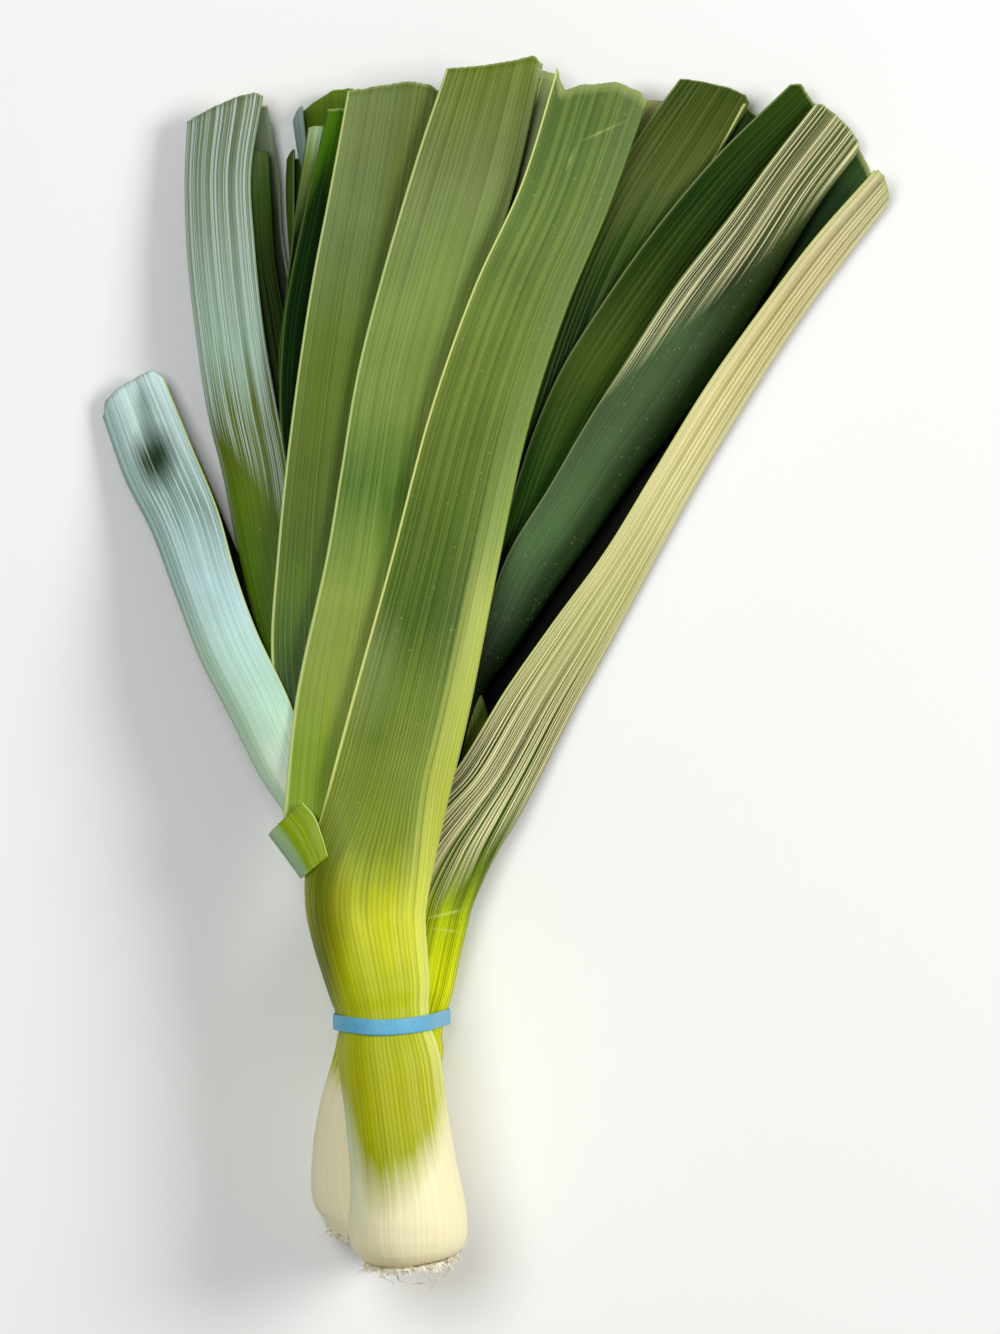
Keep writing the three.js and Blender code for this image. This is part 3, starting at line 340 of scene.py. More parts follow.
def leaf_finish(name, look, edge, seed):
    """A leaf's colour along its length, its veins and stripes, its bright rim, its keel and its inside.

    In a look, stripes says how strong the pale stripes are, fullness how much more of the leaf they take
    and striped where along the leaf they come; lines and grooves say how strong and dark the veins are.
    The bright rim is partly a painted highlight where a margin catches the light, and the inside of the
    fold is darkened with painted shade where it lies in the gaps between leaves.
    """
    finish, surface = new_finish(name)
    where = new_node(finish, "TexCoord")
    over, up, _ = parted(finish, where.outputs["UV"])
    _, y, _ = parted(finish, where.outputs["Object"])
    out = worked(finish, "ABSOLUTE", scaled(finish, over, 2.0, -1.0))
    veins = look.get("veins", 84.0)
    broad = grain(finish, over, y, detail=2, wide=16, long=7, seed=seed)
    patchy = grain(finish, over, y, detail=3, wide=veins * 0.8, long=2, seed=seed + 3)
    finest = grain(finish, over, y, detail=2, wide=veins * 2.6, long=4, seed=seed + 5)
    wave = grain(finish, over, y, detail=2, wide=veins * 1.6, long=1.6, seed=seed + 7)
    wandering = worked(finish, "ADD", y, scaled(finish, broad, 50 * mm, -25 * mm))
    per_metre, at_middle = 2.0, 0.5
    along = scaled(finish, wandering, per_metre, at_middle)

    def lengthwise(stops):
        """Colours at heights that are given in metres above the middle of the bunch."""
        return ramp(finish, along, *[
            (at_middle + per_metre * height, paint(*tone)) for height, tone in stops
        ])

    if look.get("even_shaft"):
        swerve = scaled(finish, over, veins * 2 * math.pi, times(finish, broad, 5.0))
        even = scaled(finish, worked(finish, "SINE", swerve), 0.13, 0.51)
        shaft = ramp(finish, along, (0.44, 1), (0.54, 0))
        blade = worked(finish, "SUBTRACT", 1.0, shaft)
        wave = scaled(finish, even, shaft, times(finish, wave, blade))

    colour = lengthwise(look["paint"])
    mottle = speckle(finish, where.outputs["Object"], scale=26, detail=4)
    mottle = ramp(finish, mottle, (0.34, 0.84), (0.64, 1.1))
    colour = mix_colour(finish, 0.8, colour, mottle, "MULTIPLY")

    keel_width = look.get("keel_width", 0.06)
    streaky = look.get("streaky", 0.16)
    from_keel = scaled(finish, patchy, streaky, worked(finish, "ADD", out, -streaky / 2))
    rib = ramp(finish, from_keel, (0.0, 0.9), (keel_width * 0.6, 0.7), (keel_width, 0))
    colour = mix_colour(finish, rib, colour, lengthwise(look["keel_paint"]))

    lines = scaled(finish, patchy, 0.6, times(finish, wave, 0.4))
    thinly = 0.49 - look.get("fullness", 0.0)
    lines = ramp(finish, lines, (thinly, 0), (thinly + 0.07, look["stripes"]))
    if "striped" in look:
        steep, start = look["striped"]
        striped = worked(finish, "ADD", scaled(finish, y, steep, start), out)
        lines = times(finish, lines, ramp(finish, striped, (0.3, 0), (0.6, 1)))
    colour = mix_colour(finish, lines, colour, paint(*look["stripe"]))

    grooves = ramp(finish, wave, (0.4, look.get("grooves", 0.62)), (0.52, 1.04))
    colour = mix_colour(finish, look.get("lines", 0.35), colour, grooves, "MULTIPLY")
    shade = ramp(finish, finest, (0.36, 0.8), (0.6, 1.06))
    colour = mix_colour(finish, 0.7, colour, shade, "MULTIPLY")
    flecks = speckle(finish, where.outputs["Object"], scale=640, detail=1)
    flecks = ramp(finish, flecks, (0.7, 0), (0.76, look.get("flecks", 0.12)))
    colour = mix_colour(finish, flecks, colour, paint(*look["stripe"]))
    for spot in look.get("spots", ()):
        colour = spotted(finish, where.outputs["Object"], colour, spot, patchy)

    # The inside of the fold, where the leaf has opened out: its inner face, darkened with painted shade
    # where it lies in the gaps between leaves.
    far_side = ramp(finish, over, (0.488, 1), (0.499, 0))
    opened = ramp(finish, scaled(finish, y, 20.0, 1.9), (0.4, 0), (0.8, 1))
    inside_and_shade = lengthwise(look.get("inner", [(0.05, (10, 18, 0)), (0.2, (50, 74, 24))]))
    inside_and_shade = mix_colour(finish, 0.6, inside_and_shade, shade, "MULTIPLY")
    inside_and_shade = mix_colour(finish, 0.5, inside_and_shade, grooves, "MULTIPLY")
    colour = mix_colour(finish, times(finish, far_side, opened), colour, inside_and_shade)

    # The pale rim at each margin is partly the margin's own colour and partly a painted highlight where the
    # edge catches the light.
    rim = ramp(finish, out, (0.972, 0), (0.986, 1))
    colour = mix_colour(finish, rim, colour, paint(*look.get("edge", edge)))
    cut = ramp(finish, up, (0.9975, 0), (0.999, 0.7))
    colour = mix_colour(finish, cut, colour, paint(*look.get("cut", (176, 192, 120))))
    feed(finish, colour, surface["Base Color"])
    rough = ramp(finish, patchy, (0.3, look["gloss"] - 0.06), (0.7, look["gloss"] + 0.1))
    feed(finish, rough, surface["Roughness"])
    surface["Specular IOR Level"].default_value = look.get("sheen", 0.16)
    height = scaled(finish, finest, 0.5, times(finish, wave, 0.8))
    relief_on(finish, height, strength=0.5, distance=0.22 * mm)
    return finish


# Each section of the shaft: x, y and z of its middle, half its width, half its depth, and its turn in
# degrees. The blade's sections are its keel, upper margin and lower margin, and the depth of the sheath.
front_stations = [
    (-33.4, -232, 62.6, 14.5, 14.2, -6), (-33.5, -231.6, 62.6, 17.8, 17.2, -6),
    (-33.9, -229, 62.7, 21.1, 20.5, -3), (-34.2, -224.6, 62.8, 23.1, 22.4, 0),
    (-34.5, -217.8, 62.8, 23.5, 23, 0), (-34.8, -209.3, 62.5, 22.6, 22.3, 0),
    (-36.2, -197.5, 61.8, 21.2, 21, 0), (-37.7, -185.6, 61.2, 20.6, 20.5, 0),
    (-39.6, -171, 60.8, 20.1, 20, 0), (-41.5, -156.4, 60.3, 20.2, 19.7, 0),
    (-42.8, -149, 60, 19.5, 19.2, 0), (-43.5, -143, 59.8, 18.3, 18.1, 0),
    (-44.5, -134.4, 59.3, 18.3, 17.9, 0), (-45.5, -127, 59, 19.8, 18.7, 0),
    (-47.1, -118.5, 58.5, 21, 18.4, 0), (-49.3, -107.4, 57.8, 22.4, 17.6, 0),
    (-50.8, -97.9, 56.9, 23.5, 16.8, 0), (-51, -90.8, 56.6, 24.4, 16, 0),
]
front_blade = [
    ((-24, -77, 55.2), (-75, -78.4, 67.5), (-73.6, -78.4, 42.8), 15.2),
    ((-19, -54, 52.8), (-68.6, -56, 67.6), (-66.6, -56, 37.6), 14.6),
    ((-10.4, -17.6, 49), (-56.4, -10.4, 62.5), (-54.4, -10.4, 35.5), 13),
    ((0.8, 39, 43), (-42, 41.8, 54.4), (-40.4, 42, 31.6), 11),
    ((13.2, 96.2, 38), (-25.4, 104.8, 47.6), (-25.6, 105.2, 28.2), 9),
    ((28.4, 143.6, 35), (-8, 153.8, 43.6), (-8, 154.4, 26.2), 8),
    ((45.2, 183.8, 32), (10.4, 194.2, 40.2), (7.6, 200, 23.6), 8),
    ((61.2, 228.2, 30), (24.8, 240.8, 38), (19, 240.8, 22), 8),
]
front_leaf = opened_sheath(front_stations, front_blade, opens=(-96, -36))
front_leaf["length"] = 1043.0
front_leaf["nod"] = 0.2
front_leaf["near_tip"] = [0, -1.9, -2.4, 2, 6.5, 0]
front_leaf["far_tip"] = [1, 2, 4, 8.5, 0, 0]
front_skin = leaf_body("front_skin", front_leaf, columns=150, rows=230, relief=0.12, ribs=60, thick=1.1,
                       seed=1.7)
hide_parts("front_shaft_and_outer_leaf")


def skin_finish(name, look, seed):
    """Skin that is white below the ground line and green above it, with veins that run its whole length."""
    finish = leaf_finish(name, look, (214, 222, 130), seed)
    surface = finish.node_tree.nodes["Principled BSDF"].inputs
    green = surface["Base Color"].links[0].from_socket
    where = new_node(finish, "TexCoord")
    x, y, _ = parted(finish, where.outputs["Object"])
    over = parted(finish, where.outputs["UV"])[0]

    tongue_x, tongue_end = look["tongue"]
    aside = worked(finish, "SUBTRACT", x, tongue_x)
    aside = worked(finish, "MAXIMUM", aside, times(finish, aside, -look["lopsided"]))
    arch = times(finish, times(finish, aside, aside), -look["bow"])
    arch = worked(finish, "MAXIMUM", arch, -32 * mm)
    streak = grain(finish, over, y, detail=3, wide=70, long=4, seed=seed + 11)
    streak = scaled(finish, streak, 24 * mm, -12 * mm)
    level = worked(finish, "ADD", worked(finish, "ADD", y, arch), streak)
    level = scaled(finish, level, look["sharp"], 0.5 - look["sharp"] * tongue_end)
    grown = ramp(finish, level, (0.36, 0), (0.5, 0.42), (0.66, 1))

    faint = grain(finish, over, y, detail=2, wide=130, long=5, seed=seed + 13)
    white = ramp(finish, faint, (0.35, paint(*look["white"])), (0.65, paint(*look["whitest"])))
    mint = ramp(finish, scaled(finish, x, 40.0, -40.0 * look["mint"]), (0.05, 0.8), (0.5, 0))
    high = ramp(finish, scaled(finish, y, 14.0, 3.5), (0.1, 0), (0.75, 1))
    white = mix_colour(finish, times(finish, mint, high), white, paint(182, 208, 174))
    low = ramp(finish, scaled(finish, y, 30.0, 7.4), (0.26, 0.4), (0.56, 0))
    white = mix_colour(finish, low, white, paint(222, 190, 112))
    feed(finish, mix_colour(finish, grown, white, green), surface["Base Color"])
    surface["Subsurface Weight"].default_value = 0.06
    surface["Subsurface Radius"].default_value = (6 * mm, 5 * mm, 2 * mm)
    surface["Subsurface Scale"].default_value = 0.4
    return finish


front_skin.data.materials.append(skin_finish("front_leek_skin", dict(
    paint=[(-0.20, (171, 181, 1)), (-0.17, (180, 182, 1)), (-0.13, (186, 196, 1)), (-0.10, (203, 207, 14)),
           (-0.085, (162, 174, 27)), (-0.07, (117, 135, 22)), (-0.03, (109, 130, 39)), (0.02, (66, 94, 6)),
           (0.06, (74, 99, 16)), (0.12, (100, 121, 40)), (0.17, (100, 124, 55)), (0.21, (85, 110, 48)),
           (0.24, (89, 112, 44))],
    # The keel runs down the right side of the shaft; its bright paint is partly a painted highlight from
    # the lamp on the right.
    keel_paint=[(-0.17, (230, 232, 124)), (-0.14, (250, 250, 128)), (-0.09, (232, 238, 96)),
                (-0.05, (190, 198, 70)), (0.03, (188, 202, 100)), (0.06, (146, 168, 80)),
                (0.1, (116, 140, 64)), (0.15, (104, 128, 60)), (0.22, (92, 114, 56))],
    keel_width=0.27, streaky=0.5, veins=70.0, even_shaft=True, lines=0.45, flecks=0.26,
    stripe=(176, 190, 96), stripes=0.16, gloss=0.42,
    # Painted shade: the inside of the outer leaf's fold, seen in the gap beside the next leaf, is painted
    # dark.
    inner=[(0.1, (60, 76, 34)), (0.19, (84, 100, 50)), (0.215, (126, 144, 86))],
    tongue=(-0.0445, -0.206), lopsided=1.9, bow=48.0, sharp=13.0,
    white=(242, 230, 180), whitest=(248, 240, 200), mint=-0.061,
    # The first spot is painted shade down the left side of the shaft, which faces away from the lamp on the
    # right.
    spots=[((-67, -105, 58), (13, 60, 34), 0.85, (84, 92, 0), 0),
           ((-52, 4, 60), (20, 34, 30), 0.3, (150, 164, 104), 0),
           ((44, 216, 40), (15, 0.9, 14), 0.45, (168, 184, 110), 25),
           ((30, 204, 40), (6, 1.0, 14), 0.45, (160, 178, 104), 70)],
), seed=4))


# The rear leek's skin grows the same way. It lies on the table, bends to the right above the band, and
# its outermost leaf dries to straw-coloured stripes.
rear_stations = [
    (-50.1, -228.9, 20.2, 13.5, 13.5, -20), (-50.2, -228.5, 20.2, 16.4, 16.4, -20),
    (-50.2, -224.8, 20.4, 19.6, 19.4, -18), (-50.4, -219.4, 20.8, 21.6, 20.7, -13),
    (-50.9, -211.6, 21, 22.4, 21, -5), (-51.2, -203, 21, 22.6, 21, 0),
    (-50.8, -190, 20.8, 22, 20.7, 0), (-48.8, -177, 20.6, 21.5, 19.9, 0),
    (-43.5, -158.8, 20.5, 21.6, 19.4, 0), (-41.7, -147.6, 20.7, 21.2, 19.1, 0),
    (-41, -143.2, 20.7, 20, 18, 0), (-38.9, -133, 20.4, 20, 17.8, 0),
    (-37.8, -125.6, 20, 21.2, 18.4, 0), (-35.2, -111.2, 18.2, 21.6, 17.8, 0),
    (-32.6, -97.6, 17, 22.2, 17, 0), (-30.4, -89.6, 16.4, 22, 16.2, 0),
]
rear_blade = [
    ((0.4, -74.4, 14.6), (-41.6, -68.4, 29), (-44, -66, 2), 14.4),
    ((9, -60, 12), (-28, -52.4, 28.6), (-32, -46, 0.2), 13.6),
    ((16.4, -46.4, 9.5), (-16.4, -40.4, 27.5), (-22, -32, 0.2), 12),
    ((32.4, -14.8, 6.5), (4.4, -7.2, 25.5), (-2, 4, 0.2), 10),
    ((46, 10, 5.4), (22.4, 18.4, 25), (16, 30, 0.2), 10),
    ((65, 45.4, 5.2), (44.4, 48.4, 24.5), (38, 62, 0.2), 10),
    ((81.4, 75.2, 5.2), (62.8, 78.4, 24.5), (56, 92, 0.2), 10),
    ((104.4, 113, 5.4), (85.2, 114.8, 24.5), (80, 130, 0.2), 10),
    ((123.2, 141.6, 5.6), (106.8, 145.2, 24), (102, 160, 0.2), 10),
    ((142.8, 168, 5.8), (128, 173.2, 22.5), (122, 188, 0.2), 10),
    ((157.4, 186.6, 6), (151.6, 199.8, 20), (141.2, 214.4, 0), 10),
]
rear_leaf = opened_sheath(rear_stations, rear_blade, opens=(-94, -40))
rear_leaf["length"] = 768.0
rear_leaf["near_tip"] = [-1.2, -3.8, -4.4, -4.2, -2.8, -1.2]
rear_leaf["far_tip"] = [-1.2, -1.2, -2.4, -3.4, -3, -2]
rear_skin = leaf_body("rear_skin", rear_leaf, columns=150, rows=230, relief=0.16, ribs=60, thick=1.1,
                      seed=5.1)
rear_skin.data.materials.append(skin_finish("rear_leek_skin", dict(
    paint=[(-0.20, (228, 234, 32)), (-0.16, (204, 212, 11)), (-0.13, (231, 240, 17)),
           (-0.10, (171, 191, 15)), (-0.088, (124, 145, 40)), (-0.07, (72, 102, 11)), (-0.03, (44, 67, 11)),
           (0.02, (171, 179, 87)), (0.08, (244, 236, 156)), (0.14, (213, 196, 127)),
           (0.18, (193, 182, 133)), (0.24, (117, 115, 78))],
    keel_paint=[(0, (186, 186, 124))], veins=100.0, lines=1.0, grooves=0.34,
    stripe=(240, 232, 176), stripes=1.0, striped=(12.0, 1.1), fullness=0.015,
    gloss=0.45, sheen=0.04,
    # Painted shade: the inside of the outer leaf's fold, in the dark gap beside the next leaf, is painted
    # near black.
    inner=[(0.02, (12, 16, 2)), (0.1, (18, 26, 6)), (0.17, (36, 56, 24)), (0.195, (54, 80, 42))],
    tongue=(-0.045, -0.166), lopsided=1.0, bow=10.0, sharp=26.0,
    white=(238, 228, 184), whitest=(244, 236, 200), mint=-0.2,
    spots=[((-19, -97, 34), (13, 0.9, 16), 0.4, (214, 224, 140), 12),
           ((-18, -104, 34), (10, 0.8, 16), 0.3, (210, 220, 130), -8)],
), seed=8))
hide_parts("rear_shaft_and_outer_leaf")


# The front leek's younger leaves, outermost first: they stand in two ranks, folded one inside another,
# and were all cut across with one knife. The left rank has a bluish bloom over its stripes.
# Leaves seen only deep in the gaps of the fan: dim stripes, a dark keel and margins and little shine, their
# darkness painted shade.
shaded_in_the_gap = dict(
    stripe=(90, 116, 50), stripes=0.08, keel_paint=[(0, (60, 84, 20))],
    gloss=0.6, sheen=0.04, edge=(72, 98, 44),
)
front_leaves = {
    "front_leaf_2_cut_short": dict(
        keel=[(-77, -82.4, 56), (-81, -77, 56.5), (-85.4, -71, 57.2), (-89.8, -65, 58)],
        near=[(-66, -73.2, 66.6), (-68.4, -64.8, 66.4), (-71.6, -57, 65.8), (-76.2, -51.8, 65)],
        far=[(-70, -76, 47), (-74, -69, 44), (-78, -62, 41.5), (-83, -57, 40.5)],
        near_tip=[0, -0.4, -0.4, -0.4, -0.2, 0],
        paint=[(-0.09, (140, 168, 16)), (-0.05, (134, 160, 5))],
        stripe=(150, 176, 90), stripes=0.4, veins=24, gloss=0.4,
        keel_paint=[(0, (150, 186, 158))], keel_width=0.36,
    ),
    "front_leaf_3": dict(
        keel=[(-26.4, -60.4, 52.8), (-24.8, -14, 48.6), (-23.2, 38.8, 43), (-20.4, 71.6, 40),
              (-14.8, 110.8, 37), (-4.4, 150, 34.4), (9.6, 198.8, 31.4), (19.2, 242.8, 29.4)],
        near=[(-84, -60, 61.6), (-79, -10.8, 58.4), (-67, 45.8, 51.3), (-61.8, 77, 47.6), (-55, 118.2, 44),
              (-45, 158.2, 41), (-30.6, 207.2, 37.6), (-19.4, 240.6, 35.4)],
        near_tip=[0, -3.8, -2, -0.5, -0.2, 0],
        paint=[(-0.06, (128, 160, 1)), (-0.03, (122, 150, 1)), (0, (135, 153, 55)), (0.03, (130, 150, 60)),
               (0.07, (77, 113, 24)), (0.11, (121, 142, 60)), (0.15, (120, 142, 64)),
               (0.19, (116, 131, 72)), (0.24, (97, 113, 30))],
        stripe=(150, 176, 100), stripes=0.22, keel_paint=[(0, (150, 170, 100))], gloss=0.42,
    ),
    "front_leaf_4": dict(
        keel=[(-83.6, -56.4, 51.6), (-93.2, -42.4, 49), (-106, -17.6, 44.5), (-117.6, 4.4, 38),
              (-128, 30.4, 29), (-138, 56, 19.5), (-149.2, 77.6, 11), (-158.2, 102.4, 5.6)],
        near=[(-62, -55.6, 60), (-71.6, -36.4, 58.4), (-82.4, -9.6, 56), (-94.8, 16, 48.5),
              (-103.6, 39.6, 39.5), (-111.2, 65.2, 29.5), (-121.4, 89.6, 20.5), (-133.4, 118.2, 13.5)],
        far=[(-62, -55.6, 44), (-70, -36.4, 38.6), (-80.4, -9.6, 32), (-91.2, 16, 26.5),
             (-99.6, 40.4, 18.5), (-107.6, 58.6, 9.5), (-118.8, 84.2, 3), (-135.4, 118, 0.5)],
        near_tip=[0, -5, -6, -5.4, -4.6, 0], far_tip=[0, -4, -4, -4, -3, 0],
        paint=[(-0.05, (255, 255, 227)), (-0.02, (197, 242, 200)), (0.03, (201, 242, 240)),
               (0.07, (127, 157, 143)), (0.12, (221, 254, 248))],
        stripe=(214, 234, 232), stripes=0.8, lines=0.85, keel_width=0.3, gloss=0.5,
        keel_paint=[(-0.05, (150, 200, 120)), (0, (160, 196, 150)), (0.04, (146, 178, 164)),
                    (0.09, (160, 192, 184))],
        # Both spots are painted shade in the dents listed below.
        spots=[((-137, 86, 20), (11, 17, 40), 1, (40, 60, 34), 12),
               ((-141, 104, 14), (5, 20, 30), 0.5, (90, 112, 96), 12)],
        dents=[(-137, 86, 5, 9, 1.8), (-139.5, 95, 3, 8, 0.9), (-142, 104, 2.6, 8, 0.8),
               (-144, 112, 2.4, 6, 0.8)],
        # Painted shade: the inside of the fold, under the upper half, is painted near black.
        inner=[(0.06, (8, 14, 0)), (0.11, (40, 56, 20))],
    ),
    "front_leaf_5": dict(
        keel=[(-33.2, -41.6, 50.6), (-37.2, -14, 48.2), (-40.4, 9.2, 46), (-43.6, 39.6, 42.6),
              (-43.6, 69.2, 40), (-40, 108.4, 36.6), (-34.4, 148.4, 34), (-28.4, 186.8, 31.6),
              (-22, 230.8, 30)],
        near=[(-84, -39.6, 55.4), (-87.6, -11.6, 52), (-89, 12.4, 50.6), (-86.8, 44.4, 47.8),
              (-84, 74.4, 45.4), (-79.2, 114.4, 41.8), (-73.2, 154.4, 39), (-66, 192.4, 36.6),
              (-58.8, 231.8, 35)],
        near_tip=[-0.6, -2.8, -3.7, -2.2, -0.6, 0],
        paint=[(-0.02, (28, 73, 1)), (0.03, (74, 102, 1)), (0.09, (81, 101, 1)), (0.13, (89, 115, 15)),
               (0.17, (99, 119, 63)), (0.21, (109, 124, 69)), (0.24, (107, 124, 70))],
        stripe=(140, 156, 86), stripes=0.25, keel_width=0.5,
        keel_paint=[(0, (66, 80, 0)), (0.1, (74, 90, 0)), (0.15, (78, 96, 4)), (0.2, (88, 104, 22)),
                    (0.24, (98, 114, 48))],
        gloss=0.42,
    ),
    "front_leaf_6": dict(
        keel=[(-80, -37, 49.6), (-86.8, -7.6, 45.2), (-95.6, 18.4, 40), (-102.8, 48.4, 34.5),
              (-108.8, 77.6, 30), (-115, 102.8, 26), (-120, 134.4, 22), (-123.6, 166.4, 18.5),
              (-124.8, 198.4, 15), (-123.8, 221, 13)],
        near=[(-58, -39.6, 53.6), (-66, -11.6, 51), (-74.8, 18.4, 46.2), (-79.2, 50.4, 42),
              (-82.8, 82.4, 37.6), (-87.6, 107.6, 33.6), (-92.8, 138.4, 29.4), (-96.4, 172.4, 26),
              (-97.8, 200.4, 23), (-93.2, 231, 20)],
        far=[(-58, -39.6, 44), (-62, -11.6, 39), (-68, 18.4, 33), (-70.8, 50.4, 27), (-74, 82.4, 21.5),
             (-77.2, 110.4, 17), (-80.4, 144.4, 13), (-85.4, 174, 10), (-87.2, 200.4, 8),
             (-91.8, 227.6, 9)],
        near_tip=[0, -1.2, -2.7, -3.4, -2.4, 0], far_tip=[0, 0, -0.5, -1, -0.6, 0],
        paint=[(0, (73, 105, 1)), (0.05, (80, 110, 1)), (0.075, (92, 115, 2)), (0.1, (92, 107, 24)),
               (0.13, (152, 187, 158)), (0.17, (134, 154, 130)), (0.21, (121, 138, 103)),
               (0.24, (121, 131, 98))],
        stripe=(190, 210, 200), stripes=0.8, lines=0.7, striped=(20, -1.62), gloss=0.5,
        # Painted shade: the keel at the foot of this leaf and the inside of its fold are painted near black
        # where they lie in shadow.
        keel_paint=[(0, (50, 66, 0)), (0.05, (84, 104, 10)), (0.08, (130, 150, 110)),
                    (0.12, (160, 180, 150))],
        inner=[(0.08, (0, 3, 0)), (0.15, (14, 30, 0)), (0.185, (52, 74, 26)), (0.21, (124, 138, 104))],
        edge=(126, 144, 112),
    ),
    "front_leaf_7": dict(
        keel=[(-44, -11.6, 48.2), (-52, 14.4, 45.6), (-59, 40.4, 42.6), (-59.6, 68.4, 40),
              (-57.2, 96.4, 37.4), (-53.2, 122.4, 35.6), (-49.2, 146.4, 34), (-42.8, 178.4, 32),
              (-37.2, 223.6, 30.4)],
        near=[(-72, -9.6, 49), (-77, 16.4, 47.6), (-79.6, 42.4, 45), (-81.6, 70.4, 42.8),
              (-85.6, 98.4, 40.8), (-85.6, 123.2, 39.2), (-83.6, 145.6, 37.6), (-76.8, 180.8, 35.4),
              (-66.8, 224.4, 33.6)],
        near_tip=[0, 0.4, 0.5, -0.3, -0.4, 0],
        # Painted shade: the lower part of this leaf, deep in the gap, is painted near black.
        paint=[(0, (3, 15, 1)), (0.08, (8, 34, 1)), (0.15, (9, 38, 1)), (0.19, (18, 41, 2)),
               (0.215, (60, 98, 9)), (0.23, (71, 113, 10))],
        **shaded_in_the_gap,
    ),
    "front_leaf_8": dict(
        keel=[(-79.6, -11.6, 46), (-86, 18.4, 40.4), (-91.6, 50.4, 34.6), (-96.4, 80.4, 29.6),
              (-101.2, 108.4, 25.4), (-106, 136.4, 21.6), (-110, 164.4, 18.4), (-111.6, 188.4, 16),
              (-112, 208.4, 14)],
        near=[(-60, -11.6, 49.6), (-68, 20.4, 44), (-73.2, 52.4, 38), (-75.6, 82.4, 33.2),
              (-79.6, 110.4, 29), (-84, 138.4, 25), (-88.4, 165.2, 21.8), (-89.8, 188.4, 19.2),
              (-90.8, 208.4, 17.4)],
        near_tip=[0, -1, -2, -2, -1, 0],
        # Painted shade: this leaf lies inside the fold of front_leaf_6, so its colour, its cut and its
        # margin are painted dark to match the shade there.
        paint=[(0.08, (70, 90, 4)), (0.095, (12, 20, 2)), (0.15, (26, 42, 6)), (0.19, (60, 84, 30)),
               (0.21, (90, 110, 66))],
        stripe=(90, 112, 60), stripes=0.25, cut=(62, 82, 34), edge=(50, 72, 20),
        keel_paint=[(0, (70, 90, 20))], gloss=0.6, sheen=0.04,
    ),
    "front_leaf_9": dict(
        keel=[(-52, 12.4, 45.6), (-62, 40.4, 42.4), (-66, 68.4, 39.8), (-65, 96.4, 37.2),
              (-62, 122.4, 35.2), (-59, 146.4, 33.6), (-54, 178.4, 31.6), (-50, 217.2, 30)],
        near=[(-74, 14.4, 47.4), (-77.4, 42.4, 44.2), (-80, 70.4, 41.8), (-84.4, 98.4, 39.4),
              (-86.4, 123.2, 37.6), (-84, 146.4, 36), (-79.2, 187.2, 34), (-74.8, 217, 32.4)],
        near_tip=[0, 0, -0.4, -0.8, -0.8, 0],
        # Painted shade: all but the tip of this leaf, deep in the gap, is painted near black.
        paint=[(0, (1, 2, 1)), (0.1, (3, 5, 1)), (0.17, (21, 27, 2)), (0.2, (105, 125, 64)),
               (0.22, (173, 202, 159))],
        **shaded_in_the_gap,
    ),
}


def lower_margin(leaf):
    """Where a leaf's lower margin isn't given, it mirrors the upper one."""
    inset = 0.94
    rail = []
    for (keel_x, keel_y, keel_z), (x, y, z) in zip(leaf["keel"], leaf["near"]):
        rail.append((mixed(keel_x, x, inset), mixed(keel_y, y, inset), max(keel_z - (z - keel_z), 0)))
    return rail


def young_leaves(leaves, edge, first_seed):
    for seed, (name, leaf) in enumerate(leaves.items(), first_seed):
        leaf.setdefault("far", lower_margin(leaf))
        leaf.setdefault("far_tip", [0, 1, 2, 2, 2, 2])
        columns, rows = (60, 24) if name.endswith("short") else (104, 84)
        blade = leaf_body(name + "_blade", leaf, columns, rows, relief=0.1, ribs=44, thick=1.0, seed=seed)
        blade.data.materials.append(leaf_finish(name + "_green", leaf, edge, seed))
        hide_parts(name)


young_leaves(front_leaves, edge=(196, 210, 130), first_seed=20)


